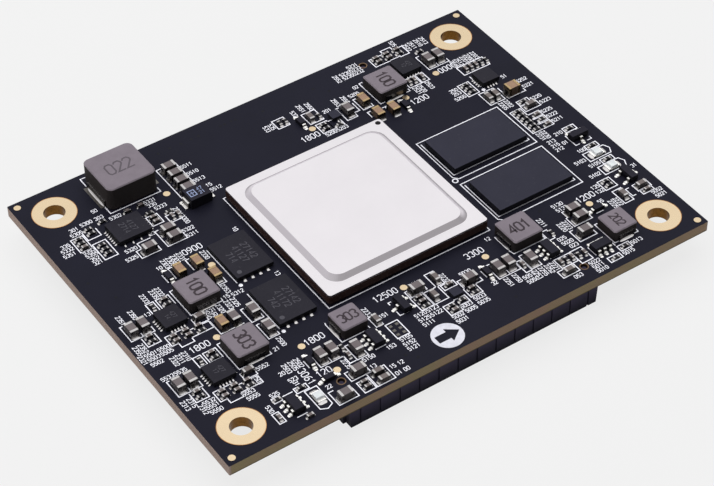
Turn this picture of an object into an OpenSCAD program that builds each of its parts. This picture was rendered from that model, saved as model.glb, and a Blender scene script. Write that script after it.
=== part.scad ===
// System on module: a processor board with memory, flash, power converters and
// two board-to-board connectors on its underside. Millimetres, +Z up. The origin is
// under the board's centre, on the plane of the connectors' mating ends.

/* [Board] */
// Length of the board along X
board_l = 80; // [80:1:110]
// Width of the board along Y
board_w = 60; // [60:1:90]
// Thickness of the board
board_t = 1.7; // [1:0.1:3.2]
// Radius of the board's corners
board_corner_r = 0.15; // [0.1:0.05:2]
// Distance of the mounting holes from the board's edges
hole_inset = 5; // [4.6:0.1:5.4]
// Diameter of the plated mounting holes
hole_d = 3.2; // [2.2:0.1:3.6]
// Width of the gold land round each mounting hole
land_w = 1.7; // [0.6:0.1:1.8]
// Thickness of the gold plating and pads
plating_t = 0.05; // [0.03:0.01:0.1]
// Diameter of the round test pads and corner marks
test_pad_d = 1.05; // [0.6:0.05:1.2]
// Distance of the corner marks from the board's edges
mark_inset = 1.1; // [0.8:0.1:1.3]

/* [Processor] */
// Side of the square processor package
proc_w = 27; // [24:0.5:28]
// Gap under the package that the solder balls fill
proc_standoff = 0.5; // [0.3:0.05:0.6]
// Thickness of the package substrate
substrate_t = 1.15; // [0.6:0.05:1.4]
// Setback of the lid from the substrate's edge
lid_inset = 0.05; // [0.05:0.05:0.5]
// Thickness of the lid's flat rim
lid_rim_t = 0.35; // [0.3:0.05:1]
// Width of the lid's flat rim
lid_rim_w = 1.5; // [1.2:0.1:2.5]
// Width of the lid's solid wall inside the bevel
lid_wall = 1; // [0.6:0.1:2]
// Width of the bevel between rim and raised centre
lid_bevel = 0.8; // [0.4:0.1:1.5]
// Rise of the lid's centre above its rim
lid_rise = 0.5; // [0.3:0.05:1]
// Corner radius of the lid's outer edge
lid_corner_r = 0.45; // [0.2:0.05:1]
// Corner radius of the raised centre
lid_centre_r = 2.2; // [1.6:0.1:4]
// Diameter of the corner hole in the lid's rim
lid_hole_d = 0.85; // [0.5:0.05:1]
// Length of the silicon die along X
die_l = 14; // [8:0.5:18]
// Width of the silicon die along Y
die_w = 12; // [8:0.5:18]
// Thickness of the silicon die
die_t = 0.5; // [0.3:0.05:0.6]
// Gap between the die and the lid, filled with paste
paste_gap = 0.05; // [0.02:0.01:0.1]
// Distance between the processor's solder balls
proc_ball_pitch = 1; // [0.8:0.1:1.27]
// Diameter of a processor solder ball
proc_ball_d = 0.62; // [0.6:0.01:0.7]
// Number of ball rows round the package's edge
proc_ball_rows = 2; // [1:1:3]
// Distance of the outer balls from the package's edge
ball_margin = 1; // [0.6:0.1:1.5]

/* [Memory and flash] */
// Length of a memory chip along X
mem_l = 13; // [11:0.5:14]
// Width of a memory chip along Y
mem_w = 7.5; // [7:0.5:10]
// Height of a memory chip's moulded body
mem_h = 0.85; // [0.6:0.05:1.2]
// Gap under a memory chip that the solder balls fill
mem_standoff = 0.35; // [0.25:0.05:0.45]
// Gap between the processor and the memory chips
mem_gap = 3; // [2.5:0.1:3.5]
// Gap between the two memory chips
mem_row_gap = 3.35; // [2.5:0.05:4]
// Distance between a memory chip's solder balls
mem_ball_pitch = 0.8; // [0.65:0.05:0.8]
// Diameter of a memory solder ball
mem_ball_d = 0.46; // [0.46:0.01:0.5]
// Ball columns along a memory chip
mem_ball_cols = 16; // [8:1:16]
// Width of a flash chip along X
flash_w = 6; // [5:0.1:6.2]
// Length of a flash chip along Y
flash_l = 8; // [6:0.1:8.4]
// Height of a flash chip
flash_h = 0.8; // [0.6:0.05:1]
// Distance of the flash chips from the board's left edge
flash_inset = 18.8; // [18.2:0.1:19.6]
// Distance between a flash chip's pads
flash_pitch = 1.27; // [1:0.01:1.3]
// Gap between the two flash chips
flash_row_gap = 2.85; // [1.5:0.05:4]

/* [Inductors] */
// Side of the tall core-supply inductor
core_w = 8; // [7:0.1:8.4]
// Height of the tall inductor
core_h = 3.9; // [3:0.1:5]
// Side of the four rail inductors
rail_w = 5; // [4:0.1:5.2]
// Height of the rail inductors
rail_h = 2; // [1.5:0.1:3]
// Side of the two small inductors
small_w = 4.1; // [3.6:0.1:4.4]
// Height of the small inductors
small_h = 1.9; // [1.2:0.1:2.5]
// Corner radius of the tall inductor
core_r = 1; // [0.4:0.1:1.6]
// Corner radius of the smaller inductors
inductor_r = 0.4; // [0.3:0.1:1]
// Chamfer round the inductors' tops
inductor_chamfer = 0.15; // [0.1:0.05:0.4]
// Thickness of the inductors' metal clips
clip_t = 0.2; // [0.15:0.05:0.3]
// Share of an inductor's side that its clip covers
clip_share = 0.62; // [0.4:0.02:0.7]
// Length of a clip's foot under the inductor
clip_foot = 1.1; // [0.6:0.1:1.5]
// Height of a clip up the inductor's side
clip_h = 1; // [0.6:0.1:1.2]

/* [Power and control chips] */
// Side of the square converter chips
conv_w = 3.5; // [3:0.1:3.8]
// Side of the square controller chip
control_w = 3; // [2.6:0.1:3.6]
// Length of the power stage chip along X
stage_l = 5.3; // [4.5:0.1:5.6]
// Width of the power stage chip along Y
stage_w = 4.4; // [4:0.1:5]
// Side of the small monitor chips
monitor_w = 1.6; // [1.4:0.1:2]
// Height of the leadless chips
chip_h = 0.9; // [0.6:0.05:1.2]
// Thickness of the leadless chips' pads
chip_lead_t = 0.2; // [0.1:0.05:0.3]
// Width of the leadless chips' pads
chip_lead_w = 0.24; // [0.15:0.01:0.3]
// Reach of the pads past the chip's side
chip_lead_toe = 0.2; // [0.1:0.05:0.3]
// Length of the pads under the chip
chip_lead_in = 0.35; // [0.2:0.05:0.45]
// Distance between the chips' pads
chip_lead_pitch = 0.5; // [0.4:0.05:0.5]
// Gap between the pads and the chip's middle pad
chip_pad_gap = 0.3; // [0.2:0.05:0.4]

/* [Leaded parts] */
// Length of the regulator and transistor bodies
sot_l = 2.9; // [2.7:0.1:3.1]
// Width of the six-lead regulator bodies
regulator_w = 1.6; // [1.4:0.05:1.7]
// Width of the three-lead transistor bodies
transistor_w = 1.3; // [1.2:0.05:1.5]
// Height of the regulator and transistor bodies
sot_h = 1.1; // [0.9:0.05:1.3]
// Reach of the leads from one side to the other
sot_span = 2.8; // [2.5:0.1:3]
// Distance between the leads
sot_pitch = 0.95; // [0.85:0.05:1]
// Width of the leads
sot_lead_w = 0.45; // [0.3:0.05:0.5]
// Thickness of the leads
lead_t = 0.14; // [0.1:0.01:0.2]
// Gap between the moulded bodies and the board
body_lift = 0.1; // [0.05:0.01:0.15]
// Inward lean of the moulded bodies' sides
draft = 0.1; // [0.05:0.01:0.15]
// Length of the small diodes' bodies
diode_l = 1.6; // [1.4:0.1:1.8]
// Width of the small diodes
diode_w = 0.9; // [0.7:0.05:1.1]
// Height of the small diodes
diode_h = 0.7; // [0.5:0.05:0.9]
// Length of the input diode's body
input_diode_l = 3.6; // [3.2:0.1:4]
// Width of the input diode's body
input_diode_w = 2.7; // [2.2:0.1:3]
// Height of the input diode's body
input_diode_h = 1.75; // [1.4:0.05:2.2]
// Length of the leads' feet past the diodes' ends
diode_foot = 0.4; // [0.3:0.05:0.5]
// Length of an indicator light
led_l = 2; // [1.6:0.1:2.2]
// Width of an indicator light
led_w = 1.25; // [0.8:0.05:1.4]
// Thickness of an indicator light's base
led_base_t = 0.25; // [0.2:0.05:0.4]
// Height of an indicator light's clear lens
led_lens_h = 0.4; // [0.3:0.05:0.6]
// Length of an indicator light's end contacts
led_end = 0.35; // [0.2:0.05:0.4]

/* [Chip capacitors and resistors] */
// Length of a bulk capacitor
bulk_l = 2; // [1.8:0.05:2.2]
// Width of a bulk capacitor
bulk_w = 1.25; // [1:0.05:1.35]
// Height of a bulk capacitor
bulk_h = 1.25; // [0.8:0.05:1.5]
// Length of a bulk capacitor's metal ends
bulk_end = 0.4; // [0.25:0.05:0.6]
// Width and height of the square input capacitor
square_cap_w = 1.6; // [1.3:0.05:1.7]
// Length of a middle-sized capacitor
mid_l = 1.6; // [1.4:0.05:1.8]
// Width and height of a middle-sized capacitor
mid_w = 0.8; // [0.7:0.05:0.95]
// Length of a middle-sized capacitor's metal ends
mid_end = 0.32; // [0.2:0.02:0.45]
// Length of a small capacitor or resistor
tiny_l = 1; // [0.9:0.05:1.1]
// Width of a small capacitor or resistor
tiny_w = 0.5; // [0.4:0.05:0.6]
// Height of a small capacitor
tiny_cap_h = 0.5; // [0.3:0.05:0.6]
// Height of a small resistor
tiny_res_h = 0.35; // [0.25:0.05:0.5]
// Length of the small parts' metal ends
tiny_end = 0.24; // [0.15:0.01:0.3]
// Distance by which metal ends stand proud of the body
end_skin = 0.02; // [0.01:0.01:0.04]
// Gap between small parts in one row
tiny_row_gap = 0.45; // [0.3:0.05:0.5]
// Gap between bulk capacitors in one row
bulk_row_gap = 0.56; // [0.3:0.02:0.6]

/* [Connectors] */
// Height of the connectors below the board
conn_h = 4.1; // [3:0.1:8]
// Width of a connector's housing
conn_w = 5.5; // [5:0.1:6.5]
// Setback of a connector's face from the board's edge
conn_setback = 0.8; // [0.6:0.1:3]
// Distance between a connector's contacts
contact_pitch = 0.8; // [0.7:0.05:0.9]
// Contacts in each row of one cell
cell_contacts = 4; // [2:1:4]
// Cells along a connector
conn_cells = 12; // [6:1:13]
// Length of the post at each end of a connector
post_l = 1.75; // [1.2:0.05:2]
// Setback of the posts from the mating end
post_step = 0.2; // [0.1:0.05:0.5]
// Taper of the posts' outer ends towards the mating end
post_taper = 0.25; // [0.1:0.05:0.6]
// Thickness of the cheeks at both sides of a post
cheek_t = 1.2; // [0.6:0.1:1.6]
// Reach of the key between the cheeks past them
key_out = 0.25; // [0.1:0.05:0.8]
// Thickness of the housing's side walls
conn_wall = 0.6; // [0.4:0.05:0.8]
// Thickness of the tongue between the contact rows
tongue_t = 1.4; // [1:0.05:1.6]
// Setback of the tongue from the mating end
tongue_setback = 0.4; // [0.2:0.05:0.8]
// Thickness of the ribs between the cells
rib_t = 0.25; // [0.15:0.01:0.3]
// Height of the ribs between the cells
rib_h = 0.4; // [0.2:0.05:1]
// Thickness of the floor between tongue and walls
conn_floor_t = 1.1; // [0.6:0.1:1.5]
// Gap beside the contacts where they pass the floor
slit_gap = 0.1; // [0.05:0.01:0.2]
// Width of the grooves that mark the cells outside
groove_w = 0.26; // [0.1:0.01:0.3]
// Depth of the grooves and rebates in the walls' outer faces
groove_d = 0.16; // [0.05:0.01:0.2]
// Height of the rebate along a wall's mating edge
rebate_h = 0.5; // [0.2:0.05:1]
// Width of a contact
contact_w = 0.36; // [0.25:0.01:0.4]
// Thickness of a contact
contact_t = 0.15; // [0.1:0.01:0.2]
// Reach of the contacts' tails past the housing
tail_out = 0.5; // [0.2:0.05:0.55]
// Gap between the housing's walls and the tails
tail_gap = 0.05; // [0.03:0.01:0.1]
// Diameter of a connector's locating pegs
peg_d = 0.75; // [0.6:0.05:0.95]
// Clearance round a locating peg in its hole
peg_gap = 0.15; // [0.1:0.05:0.25]
// Distance of the pegs past the last cells
peg_out = 0.7; // [0.5:0.05:0.9]
// Offset of the pegs from the connector's middle line
peg_offset = 0.65; // [0:0.05:1]
// Distance of the pegs' tips below the board's upper face
peg_short = 0.35; // [0.1:0.05:0.5]

/* [Hidden] */
$fn = 48;

// Heights of the board's two faces
under_z = conn_h;
top_z = conn_h + board_t;

// Edges of the board and sides of the processor
edge_x = board_l / 2;
edge_y = board_w / 2;
proc_side = proc_w / 2;

// Places on the board, measured from its edges towards the middle: L left, R right,
// B back, F front, M from the middle line. Each gives x, y and the turn in degrees.
function at_lb(x, y, turn = 0) = [-edge_x + x, edge_y - y, turn];
function at_lf(x, y, turn = 0) = [-edge_x + x, -edge_y + y, turn];
function at_rb(x, y, turn = 0) = [edge_x - x, edge_y - y, turn];
function at_rf(x, y, turn = 0) = [edge_x - x, -edge_y + y, turn];
function at_lm(x, y, turn = 0) = [-edge_x + x, y, turn];
function at_rm(x, y, turn = 0) = [edge_x - x, y, turn];
function at_mb(x, y, turn = 0) = [x, edge_y - y, turn];
function at_mf(x, y, turn = 0) = [x, -edge_y + y, turn];

// A row of n places that starts at one place and steps by dx, dy
function row(first, n, dx, dy) = [for (i = [0:n - 1]) [first[0] + i * dx, first[1] + i * dy, first[2]]];

tiny_pitch = tiny_w + tiny_row_gap;
bulk_pitch = bulk_w + bulk_row_gap;

// The two rail converters on the left repeat one block, one below the other
block_pitch = 12.35;
block_steps = [0, block_pitch];

mounting_hole_x = edge_x - hole_inset;
mounting_hole_y = edge_y - hole_inset;
mem_x = proc_side + mem_gap + mem_l / 2;
mem_mid_y = -3.1;
mem_pitch = mem_w + mem_row_gap;
flash_x = -edge_x + flash_inset + flash_w / 2;
flash_mid_y = -3.6;
flash_pitch_y = flash_l + flash_row_gap;

test_pad_places = [
    at_lb(20.2, 10.8), at_mb(5.3, 10.9), at_rb(19.2, 13), at_rb(12.1, 10.9), at_lm(17.75, 2.9),
    at_lm(10.9, -9.5), at_lf(19.3, 12.5), at_lf(20.8, 6.2), at_mf(-3, 13.85), at_mf(9.85, 12.3),
    at_rf(11.45, 12.55)
];

corner_mark_places = [at_lb(mark_inset, mark_inset), at_rb(mark_inset, mark_inset),
    at_lf(mark_inset, mark_inset), at_rf(mark_inset, mark_inset)];

core_inductor_place = at_lb(15.7, 5.55);
rail_inductor_places = [at_lm(12.8, -1.25, 90), at_lm(12.8, -1.25 - block_pitch, 90),
    at_rb(20.55, 9.5, 90), at_mf(16.1, 12.95)];
small_inductor_places = [at_mf(-13.4, 12.15), at_rf(11.6, 6.25, 90)];

power_stage_place = at_lb(11.8, 14.4);
converter_places = [at_lm(7.5, -3.1), at_lm(7.5, -3.1 - block_pitch), at_rb(15.2, 7.3)];
controller_place = at_rb(6.8, 16.35);
monitor_places = [at_mb(9.5, 10.6), at_mf(2.05, 8.7)];

regulator_places = [at_lf(12.55, 3.9, 90), at_mf(-12.05, 7.8, 90), at_mf(17.8, 8.1, 90), at_rf(15.9, 4.5)];
transistor_places = [at_rm(3.7, -5), at_rf(3.15, 14, 90), at_mf(-5.3, 11, -90)];
diode_places = [at_mb(4.6, 8.8, 90), at_lm(11.55, 4.2, 90), at_lf(18.55, 9.4, 90), at_lf(19.05, 5.45),
    at_mf(8.05, 9.6, 90), at_rf(11.2, 11), at_rb(20.4, 14.5, 90)];
input_diode_place = at_lb(23.15, 14.5);
led_places = [at_rm(3.7, -9.45), at_rm(3.7, -12.95), at_lf(16, 3.5, 90)];

bulk_places = concat(
    row(at_lb(23.1, 6.6), 4, 0, -bulk_pitch),
    row(at_lb(16.3, 17.8), 2, 0, -bulk_pitch), [at_lb(12.2, 19.6)],
    [for (down = block_steps) each row(at_lm(1.9, -2.2 - down, 90), 2, bulk_pitch, 0)],
    [at_lm(14.5, -8.1, 90), at_lm(17.4, -8.4, 90), at_lm(17.4, -12.3, 90)],
    [at_mb(11.75, 10.75, 90)], row(at_rb(11.5, 8, 90), 2, bulk_pitch, 0),
    row(at_mf(9.65, 9.15, 90), 2, bulk_pitch, 0), [at_mf(14.5, 8.05, 90)],
    row(at_lf(20.2, 9.3, 90), 2, bulk_pitch, 0), [at_mf(-15.05, 7.7, 90)],
    row(at_rf(14.5, 12.6), 2, 0, -bulk_pitch), [at_rf(15.85, 8.1)],
    [at_mf(5.2, 9.7), at_lf(22.85, 4.2), at_lf(19, 1.5), at_mf(-1.9, 12.35)]
);
square_cap_place = at_rm(5.4, 8.85);
output_places = [at_lm(13.25, 4, 90), at_lm(16.1, 4, 90), at_lm(16.9, 0.55, 90), at_lm(12.65, -8.05, 90),
    at_mb(14.9, 10.3, 90), at_mb(15, 14.15, 90), at_mb(17.5, 14.5, 90)];
mid_places = concat(
    [at_mb(6.3, 8.8, 90), at_rm(9.2, 9.6, 90), at_rm(7.9, 9.6, 90), at_rm(5, 4.75)],
    [at_mf(-0.6, 10.05, 90), at_mf(1.5, 12.7, 90), at_mf(-9.8, 10.7, 90)],
    [at_rf(6.4, 11.2, 90), at_rf(2.95, 11.35), at_mf(17.55, 3.25)],
    [at_mf(-15.1, 2.6), at_mf(-15.1, 1.15)],
    [for (down = block_steps) at_lm(10.9, -5 - down)]
);
small_cap_places = concat(
    [at_lb(4.95, 12.05 + 2 * tiny_pitch), at_lb(13.6, 10.9), at_lb(15.8, 10.9)],
    row(at_lb(16, 14.1), 2, 0, -tiny_pitch), row(at_lb(18.4, 15.45, 90), 2, tiny_pitch, 0),
    row(at_rb(17.7, 2.8), 2, 0, -tiny_pitch), row(at_rb(15.8, 2.8), 2, 0, -tiny_pitch), [at_rb(13.9, 2.8)],
    row(at_rb(7.9, 12.8, 90), 3, tiny_pitch, 0),
    row(at_rb(16.75, 10.4, 90), 2, tiny_pitch, 0), [at_rb(14.35, 10.4, 90)],
    [at_rm(5.6, 2.5), at_rm(5.6, -0.2), at_rf(2.8, 10.2)],
    [at_mf(13.1, 8, 90), at_mf(17.7, 5.3, 90), at_mf(17.7 + 2 * tiny_pitch, 5.3, 90),
        at_mf(20.65 + tiny_pitch, 5, 90)],
    [at_mf(0.2, 7.15 - tiny_pitch), at_mf(4.5, 8.35), at_mf(-2.5, 11.05), at_mf(-2.5, 10.1)],
    [at_mf(2.4, 10.7)],
    row(at_lf(22.4, 2.25), 2, 0, -tiny_pitch), [at_lf(23.5, 7.5, 90), at_lf(13.3, 1.3), at_lf(9.8, 3.3, 90)],
    [for (down = block_steps) each concat(
        [at_lm(8.7, 0.75 - down), at_lm(3.4, -4.25 - down), at_lm(9.9, -6.3 - down)],
        row(at_lm(6.1, -6.1 - down), 2, 0, -tiny_pitch), row(at_lm(8, -6.1 - down), 2, 0, -tiny_pitch))]
);
small_res_places = concat(
    row(at_lb(4.95, 12.05), 2, 0, -tiny_pitch), row(at_lb(7.15, 11), 2, 0, -tiny_pitch),
    row(at_lb(7.15, 14.9), 3, 0, -tiny_pitch), [at_lb(9.6, 10.7), at_lb(16, 13), at_lb(18.5, 14.3)],
    row(at_mb(1.95, 7.2, 90), 2, tiny_pitch, 0), [at_mb(7.7, 9.1, 90)],
    row(at_mb(7.05, 11.15), 2, 0, -tiny_pitch), [at_mb(9.1, 12.5)],
    [at_rb(13.9, 2.8 + tiny_pitch), at_rb(11.2, 5.2)],
    row(at_rb(5, 12.8, 90), 2, tiny_pitch, 0), row(at_rb(10.3, 15.85), 3, 0, -tiny_pitch),
    [at_rm(5.4, 6.1), at_rm(5.6, 1.2), at_rm(3.6, -2.75)], row(at_rm(7.65, 4.6), 6, 0, -tiny_pitch),
    [at_rm(3.3, -7.7), at_rm(3.3, -11.35), at_rf(6.65, 14.95), at_rf(6.65, 14)],
    [at_mf(20.3, 10.8, 90), at_mf(17.7 + tiny_pitch, 5.3, 90), at_mf(20.65, 5, 90)],
    [at_rf(12.9, 2.8), at_rf(15.4, 1.7)],
    [at_mf(-2.5, 10.1 - tiny_pitch), at_mf(2.1, 7.2), at_mf(0.2, 7.15), at_mf(4.5, 8.35 - tiny_pitch)],
    [at_lf(15, 6.2), at_lf(11.3, 6.2), at_lf(23.55, 9.15, 90)],
    [for (down = block_steps) each [at_lm(6.7, 0.3 - down, 90), at_lm(8.7, 0.75 - tiny_pitch - down),
        at_lm(3.4, -4.25 - tiny_pitch - down), at_lm(9.9, -6.3 - tiny_pitch - down)]]
);

// Decoupling capacitors sit in a grid on the underside, below the processor
decoupling_gap_x = 1.4;
decoupling_gap_y = 1.9;
decoupling_cols = 7;
decoupling_rows = 6;
decoupling_pitch_x = tiny_l + decoupling_gap_x;
decoupling_pitch_y = tiny_w + decoupling_gap_y;
decoupling_mid_x = (decoupling_cols - 1) / 2;
decoupling_mid_y = (decoupling_rows - 1) / 2;
decoupling_places = [for (i = [0:decoupling_cols - 1], j = [0:decoupling_rows - 1])
    [(i - decoupling_mid_x) * decoupling_pitch_x, (j - decoupling_mid_y) * decoupling_pitch_y, 0]];

conn_y = edge_y - conn_setback - conn_w / 2;
cell_l = cell_contacts * contact_pitch;
conn_body_l = conn_cells * cell_l;
peg_x = conn_body_l / 2 + peg_out;
wall_h = conn_h - contact_t - tail_gap;
peg_h = board_t - peg_short;

// Lets a cut run clear through a face
cut = 1;
// Keeps a whole number whole when copies are counted
count_tol = 0.01;

// Sets children on the board's upper face at each place
module on_board(places) {
    for (p = places)
        translate([p[0], p[1], top_z])
            rotate(p[2])
                children();
}

// Sets children at the four corners of a rectangle
module at_corners(x, y) {
    for (sx = [-1, 1], sy = [-1, 1])
        translate([sx * x, sy * y, 0])
            children();
}

// Flat plate with round corners, centred, standing on z = 0
module round_plate(l, w, t, r) {
    linear_extrude(t) {
        square([l - 2 * r, w], center = true);
        square([l, w - 2 * r], center = true);
        for (sx = [-1, 1], sy = [-1, 1])
            translate([sx * (l / 2 - r), sy * (w / 2 - r)])
                circle(r);
    }
}

// Block centred in X and Y, from height z up
module block(l, w, h, z = 0) {
    translate([-l / 2, -w / 2, z])
        cube([l, w, h]);
}

// Prism with its outline in Y and Z, centred along X
module x_prism(l, points) {
    rotate([90, 0, 90])
        linear_extrude(l, center = true)
            polygon(points);
}

// Truncated solder ball that fills a gap of the given height
module solder_ball(d, gap) {
    translate([0, 0, gap / 2])
        rotate_extrude()
            intersection() {
                circle(d = d);
                translate([0, -gap / 2])
                    square([d, gap]);
            }
}

// Body of a chip capacitor or resistor between its metal ends
module chip_body(l, w, h, end) {
    block(l - 2 * end, w - 2 * end_skin, h - 2 * end_skin, end_skin);
}

// Both metal ends of a chip capacitor or resistor
module chip_ends(l, w, h, end) {
    for (s = [-1, 1])
        translate([s * (l - end) / 2, 0, 0])
            block(end, w, h);
}

// Inductor body with rounded corners and a chamfered top, above its clips' feet
module inductor_body(w, h, r = inductor_r) {
    color([0.55, 0.5, 0.53])
        hull() {
            translate([0, 0, clip_t])
                round_plate(w, w, h - clip_t - inductor_chamfer, r, $fn = 32);
            translate([0, 0, clip_t])
                round_plate(w - 2 * inductor_chamfer, w - 2 * inductor_chamfer, h - clip_t, r, $fn = 32);
        }
}

// Both clips of an inductor: a foot under the body and a plate up its side
module inductor_clips(w) {
    clip_w = w * clip_share;
    color([0.78, 0.76, 0.74])
        for (turn = [0, 180])
            rotate(turn) {
                translate([w / 2 - clip_foot, -clip_w / 2, 0])
                    cube([clip_foot + clip_t, clip_w, clip_t]);
                translate([w / 2, -clip_w / 2, 0])
                    cube([clip_t, clip_w, clip_h]);
            }
}

// Body of a leadless chip, standing on its pads
module leadless_body(l, w, h) {
    color([0.2, 0.2, 0.23])
        block(l, w, h - chip_lead_t, chip_lead_t);
}

// A row of n pads under the +Y side of a leadless chip of width w
module pad_row(n, pitch, w) {
    for (i = [0:n - 1])
        translate([(i - (n - 1) / 2) * pitch - chip_lead_w / 2, w / 2 - chip_lead_in, 0])
            cube([chip_lead_w, chip_lead_in + chip_lead_toe, chip_lead_t]);
}

// Number of pads that fit along a chip's side of length l
function pads_along(l, pitch) = floor((l - 2 * (chip_lead_in + chip_pad_gap)) / pitch + count_tol) + 1;

// Pads on the two long sides, or all four sides, with the middle pad
module leadless_pads(l, w, pitch_x, pitch_y, four_sides = true) {
    color([0.8, 0.76, 0.66]) {
        for (turn = [0, 180])
            rotate(turn)
                pad_row(pads_along(l, pitch_x), pitch_x, w);
        if (four_sides)
            for (turn = [90, 270])
                rotate(turn)
                    pad_row(pads_along(w, pitch_y), pitch_y, l);
        side_room = chip_lead_in + chip_pad_gap;
        block(l - 2 * side_room, w - 2 * side_room, chip_lead_t);
    }
}

// Moulded body whose +Y and -Y sides lean in above and below the leads
module moulded_body(l, w, h) {
    lead_z = (body_lift + h) / 2;
    x_prism(l, [
        [-w / 2 + draft, body_lift], [w / 2 - draft, body_lift],
        [w / 2, lead_z - lead_t / 2], [w / 2, lead_z + lead_t / 2],
        [w / 2 - draft, h], [-w / 2 + draft, h],
        [-w / 2, lead_z + lead_t / 2], [-w / 2, lead_z - lead_t / 2]
    ]);
}

// Lead that leaves the +Y side of a moulded body, bends down and ends in a foot
module gull_lead(lead_w, w, h, span) {
    lead_z = (body_lift + h) / 2;
    shoulder = lead_t;
    bend = w / 2 + shoulder;
    x_prism(lead_w, [
        [w / 2, lead_z + lead_t / 2], [bend + lead_t, lead_z + lead_t / 2], [bend + lead_t, lead_t],
        [span / 2, lead_t], [span / 2, 0], [bend, 0],
        [bend, lead_z - lead_t / 2], [w / 2, lead_z - lead_t / 2]
    ]);
}

module circuit_board() {
    color([0.13, 0.13, 0.18])
        translate([0, 0, under_z])
            difference() {
                round_plate(board_l, board_w, board_t, board_corner_r);
                at_corners(mounting_hole_x, mounting_hole_y)
                    translate([0, 0, -cut])
                        cylinder(d = hole_d + 2 * plating_t, h = board_t + 2 * cut);
                for (side = [0, 1])
                    mirror([0, side, 0])
                        for (s = [-1, 1])
                            translate([s * peg_x, -conn_y - s * peg_offset, -cut])
                                cylinder(d = peg_d + 2 * peg_gap, h = board_t + 2 * cut);
            }
}

module mounting_hole_plating() {
    r_in = hole_d / 2;
    r_barrel = r_in + plating_t;
    r_land = r_in + land_w;
    color([0.92, 0.8, 0.55])
        at_corners(mounting_hole_x, mounting_hole_y)
            rotate_extrude()
                polygon([
                    [r_in, under_z - plating_t], [r_land, under_z - plating_t], [r_land, under_z],
                    [r_barrel, under_z], [r_barrel, top_z], [r_land, top_z],
                    [r_land, top_z + plating_t], [r_in, top_z + plating_t]
                ]);
}

// Round gold pads: test points among the parts and an alignment mark in each corner
module test_pads() {
    color([0.92, 0.8, 0.55])
        on_board(concat(test_pad_places, corner_mark_places))
            cylinder(d = test_pad_d, h = plating_t);
}

module processor_substrate() {
    color([0.2, 0.13, 0.11])
        translate([0, 0, top_z + proc_standoff])
            round_plate(proc_w, proc_w, substrate_t, lid_corner_r);
}

module processor_die() {
    color([0.3, 0.31, 0.34])
        block(die_l, die_w, die_t, top_z + proc_standoff + substrate_t);
}

// Stepped metal lid: flat rim, bevel and raised centre, hollow over the die
module processor_lid() {
    lid_w = proc_w - 2 * lid_inset;
    centre_w = lid_w - 2 * lid_rim_w;
    crown_w = centre_w - 2 * lid_bevel;
    cavity_w = crown_w - 2 * lid_wall;
    hole_at = lid_w / 2 - lid_rim_w / 2;
    film = 0.01;
    color([0.9, 0.89, 0.91])
        translate([0, 0, top_z + proc_standoff + substrate_t])
            difference() {
                union() {
                    round_plate(lid_w, lid_w, lid_rim_t, lid_corner_r);
                    hull() {
                        round_plate(centre_w, centre_w, lid_rim_t, lid_centre_r);
                        translate([0, 0, lid_rim_t + lid_rise - film])
                            round_plate(crown_w, crown_w, film, lid_centre_r - lid_bevel / 2);
                    }
                }
                block(cavity_w, cavity_w, die_t + paste_gap + cut, -cut);
                translate([hole_at, hole_at, lid_rim_t / 2])
                    cylinder(d = lid_hole_d, h = cut);
            }
}

// Solder balls in rows round the package's edge
module processor_solder_balls() {
    last = floor((proc_w - 2 * ball_margin) / proc_ball_pitch + count_tol);
    inner = proc_ball_rows - 1;
    color([0.75, 0.75, 0.76])
        for (i = [0:last], j = [0:last])
            if (min(i, j, last - i, last - j) <= inner)
                translate([(i - last / 2) * proc_ball_pitch, (j - last / 2) * proc_ball_pitch, top_z])
                    solder_ball(proc_ball_d, proc_standoff);
}

// Memory chip: number 1 lies towards the back, number 2 towards the front
function mem_y(i) = mem_mid_y + (1.5 - i) * mem_pitch;

module memory_chip(i) {
    color([0.22, 0.22, 0.26])
        translate([mem_x, mem_y(i), top_z])
            block(mem_l, mem_w, mem_h, mem_standoff);
}

module memory_chip_1() { memory_chip(1); }

module memory_chip_2() { memory_chip(2); }

// Two groups of three ball rows on each memory chip
module memory_solder_balls() {
    rows = [2, 3, 4];
    color([0.75, 0.75, 0.76])
        for (i = [1, 2], side = [-1, 1], r = rows, c = [0:mem_ball_cols - 1])
            translate([mem_x + (c - (mem_ball_cols - 1) / 2) * mem_ball_pitch,
                    mem_y(i) + side * r * mem_ball_pitch, top_z])
                solder_ball(mem_ball_d, mem_standoff);
}

// Flash chip: number 1 lies towards the back, number 2 towards the front
function flash_y(i) = flash_mid_y + (1.5 - i) * flash_pitch_y;

module flash_chip(i) {
    translate([flash_x, flash_y(i), top_z])
        leadless_body(flash_w, flash_l, flash_h);
}

module flash_chip_1() { flash_chip(1); }

module flash_chip_2() { flash_chip(2); }

module flash_pads() {
    pads = 4;
    pad_w = 0.42;
    side_room = chip_lead_in + chip_pad_gap;
    color([0.8, 0.78, 0.74])
        for (i = [1, 2])
            translate([flash_x, flash_y(i), top_z]) {
                for (turn = [0, 180], k = [0:pads - 1])
                    rotate(turn)
                        translate([(k - (pads - 1) / 2) * flash_pitch, flash_l / 2 - chip_lead_in, 0])
                            translate([-pad_w / 2, 0, 0])
                                cube([pad_w, chip_lead_in + chip_lead_toe, chip_lead_t]);
                block(flash_w - 2 * side_room, flash_l - 2 * side_room, chip_lead_t);
            }
}

module core_inductor() { on_board([core_inductor_place]) inductor_body(core_w, core_h, core_r); }

module core_inductor_clips() { on_board([core_inductor_place]) inductor_clips(core_w); }

module rail_inductor(i) { on_board([rail_inductor_places[i - 1]]) inductor_body(rail_w, rail_h); }

module rail_inductor_1() { rail_inductor(1); }

module rail_inductor_2() { rail_inductor(2); }

module rail_inductor_3() { rail_inductor(3); }

module rail_inductor_4() { rail_inductor(4); }

module rail_inductor_clips() { on_board(rail_inductor_places) inductor_clips(rail_w); }

module small_inductor(i) { on_board([small_inductor_places[i - 1]]) inductor_body(small_w, small_h); }

module small_inductor_1() { small_inductor(1); }

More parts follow.
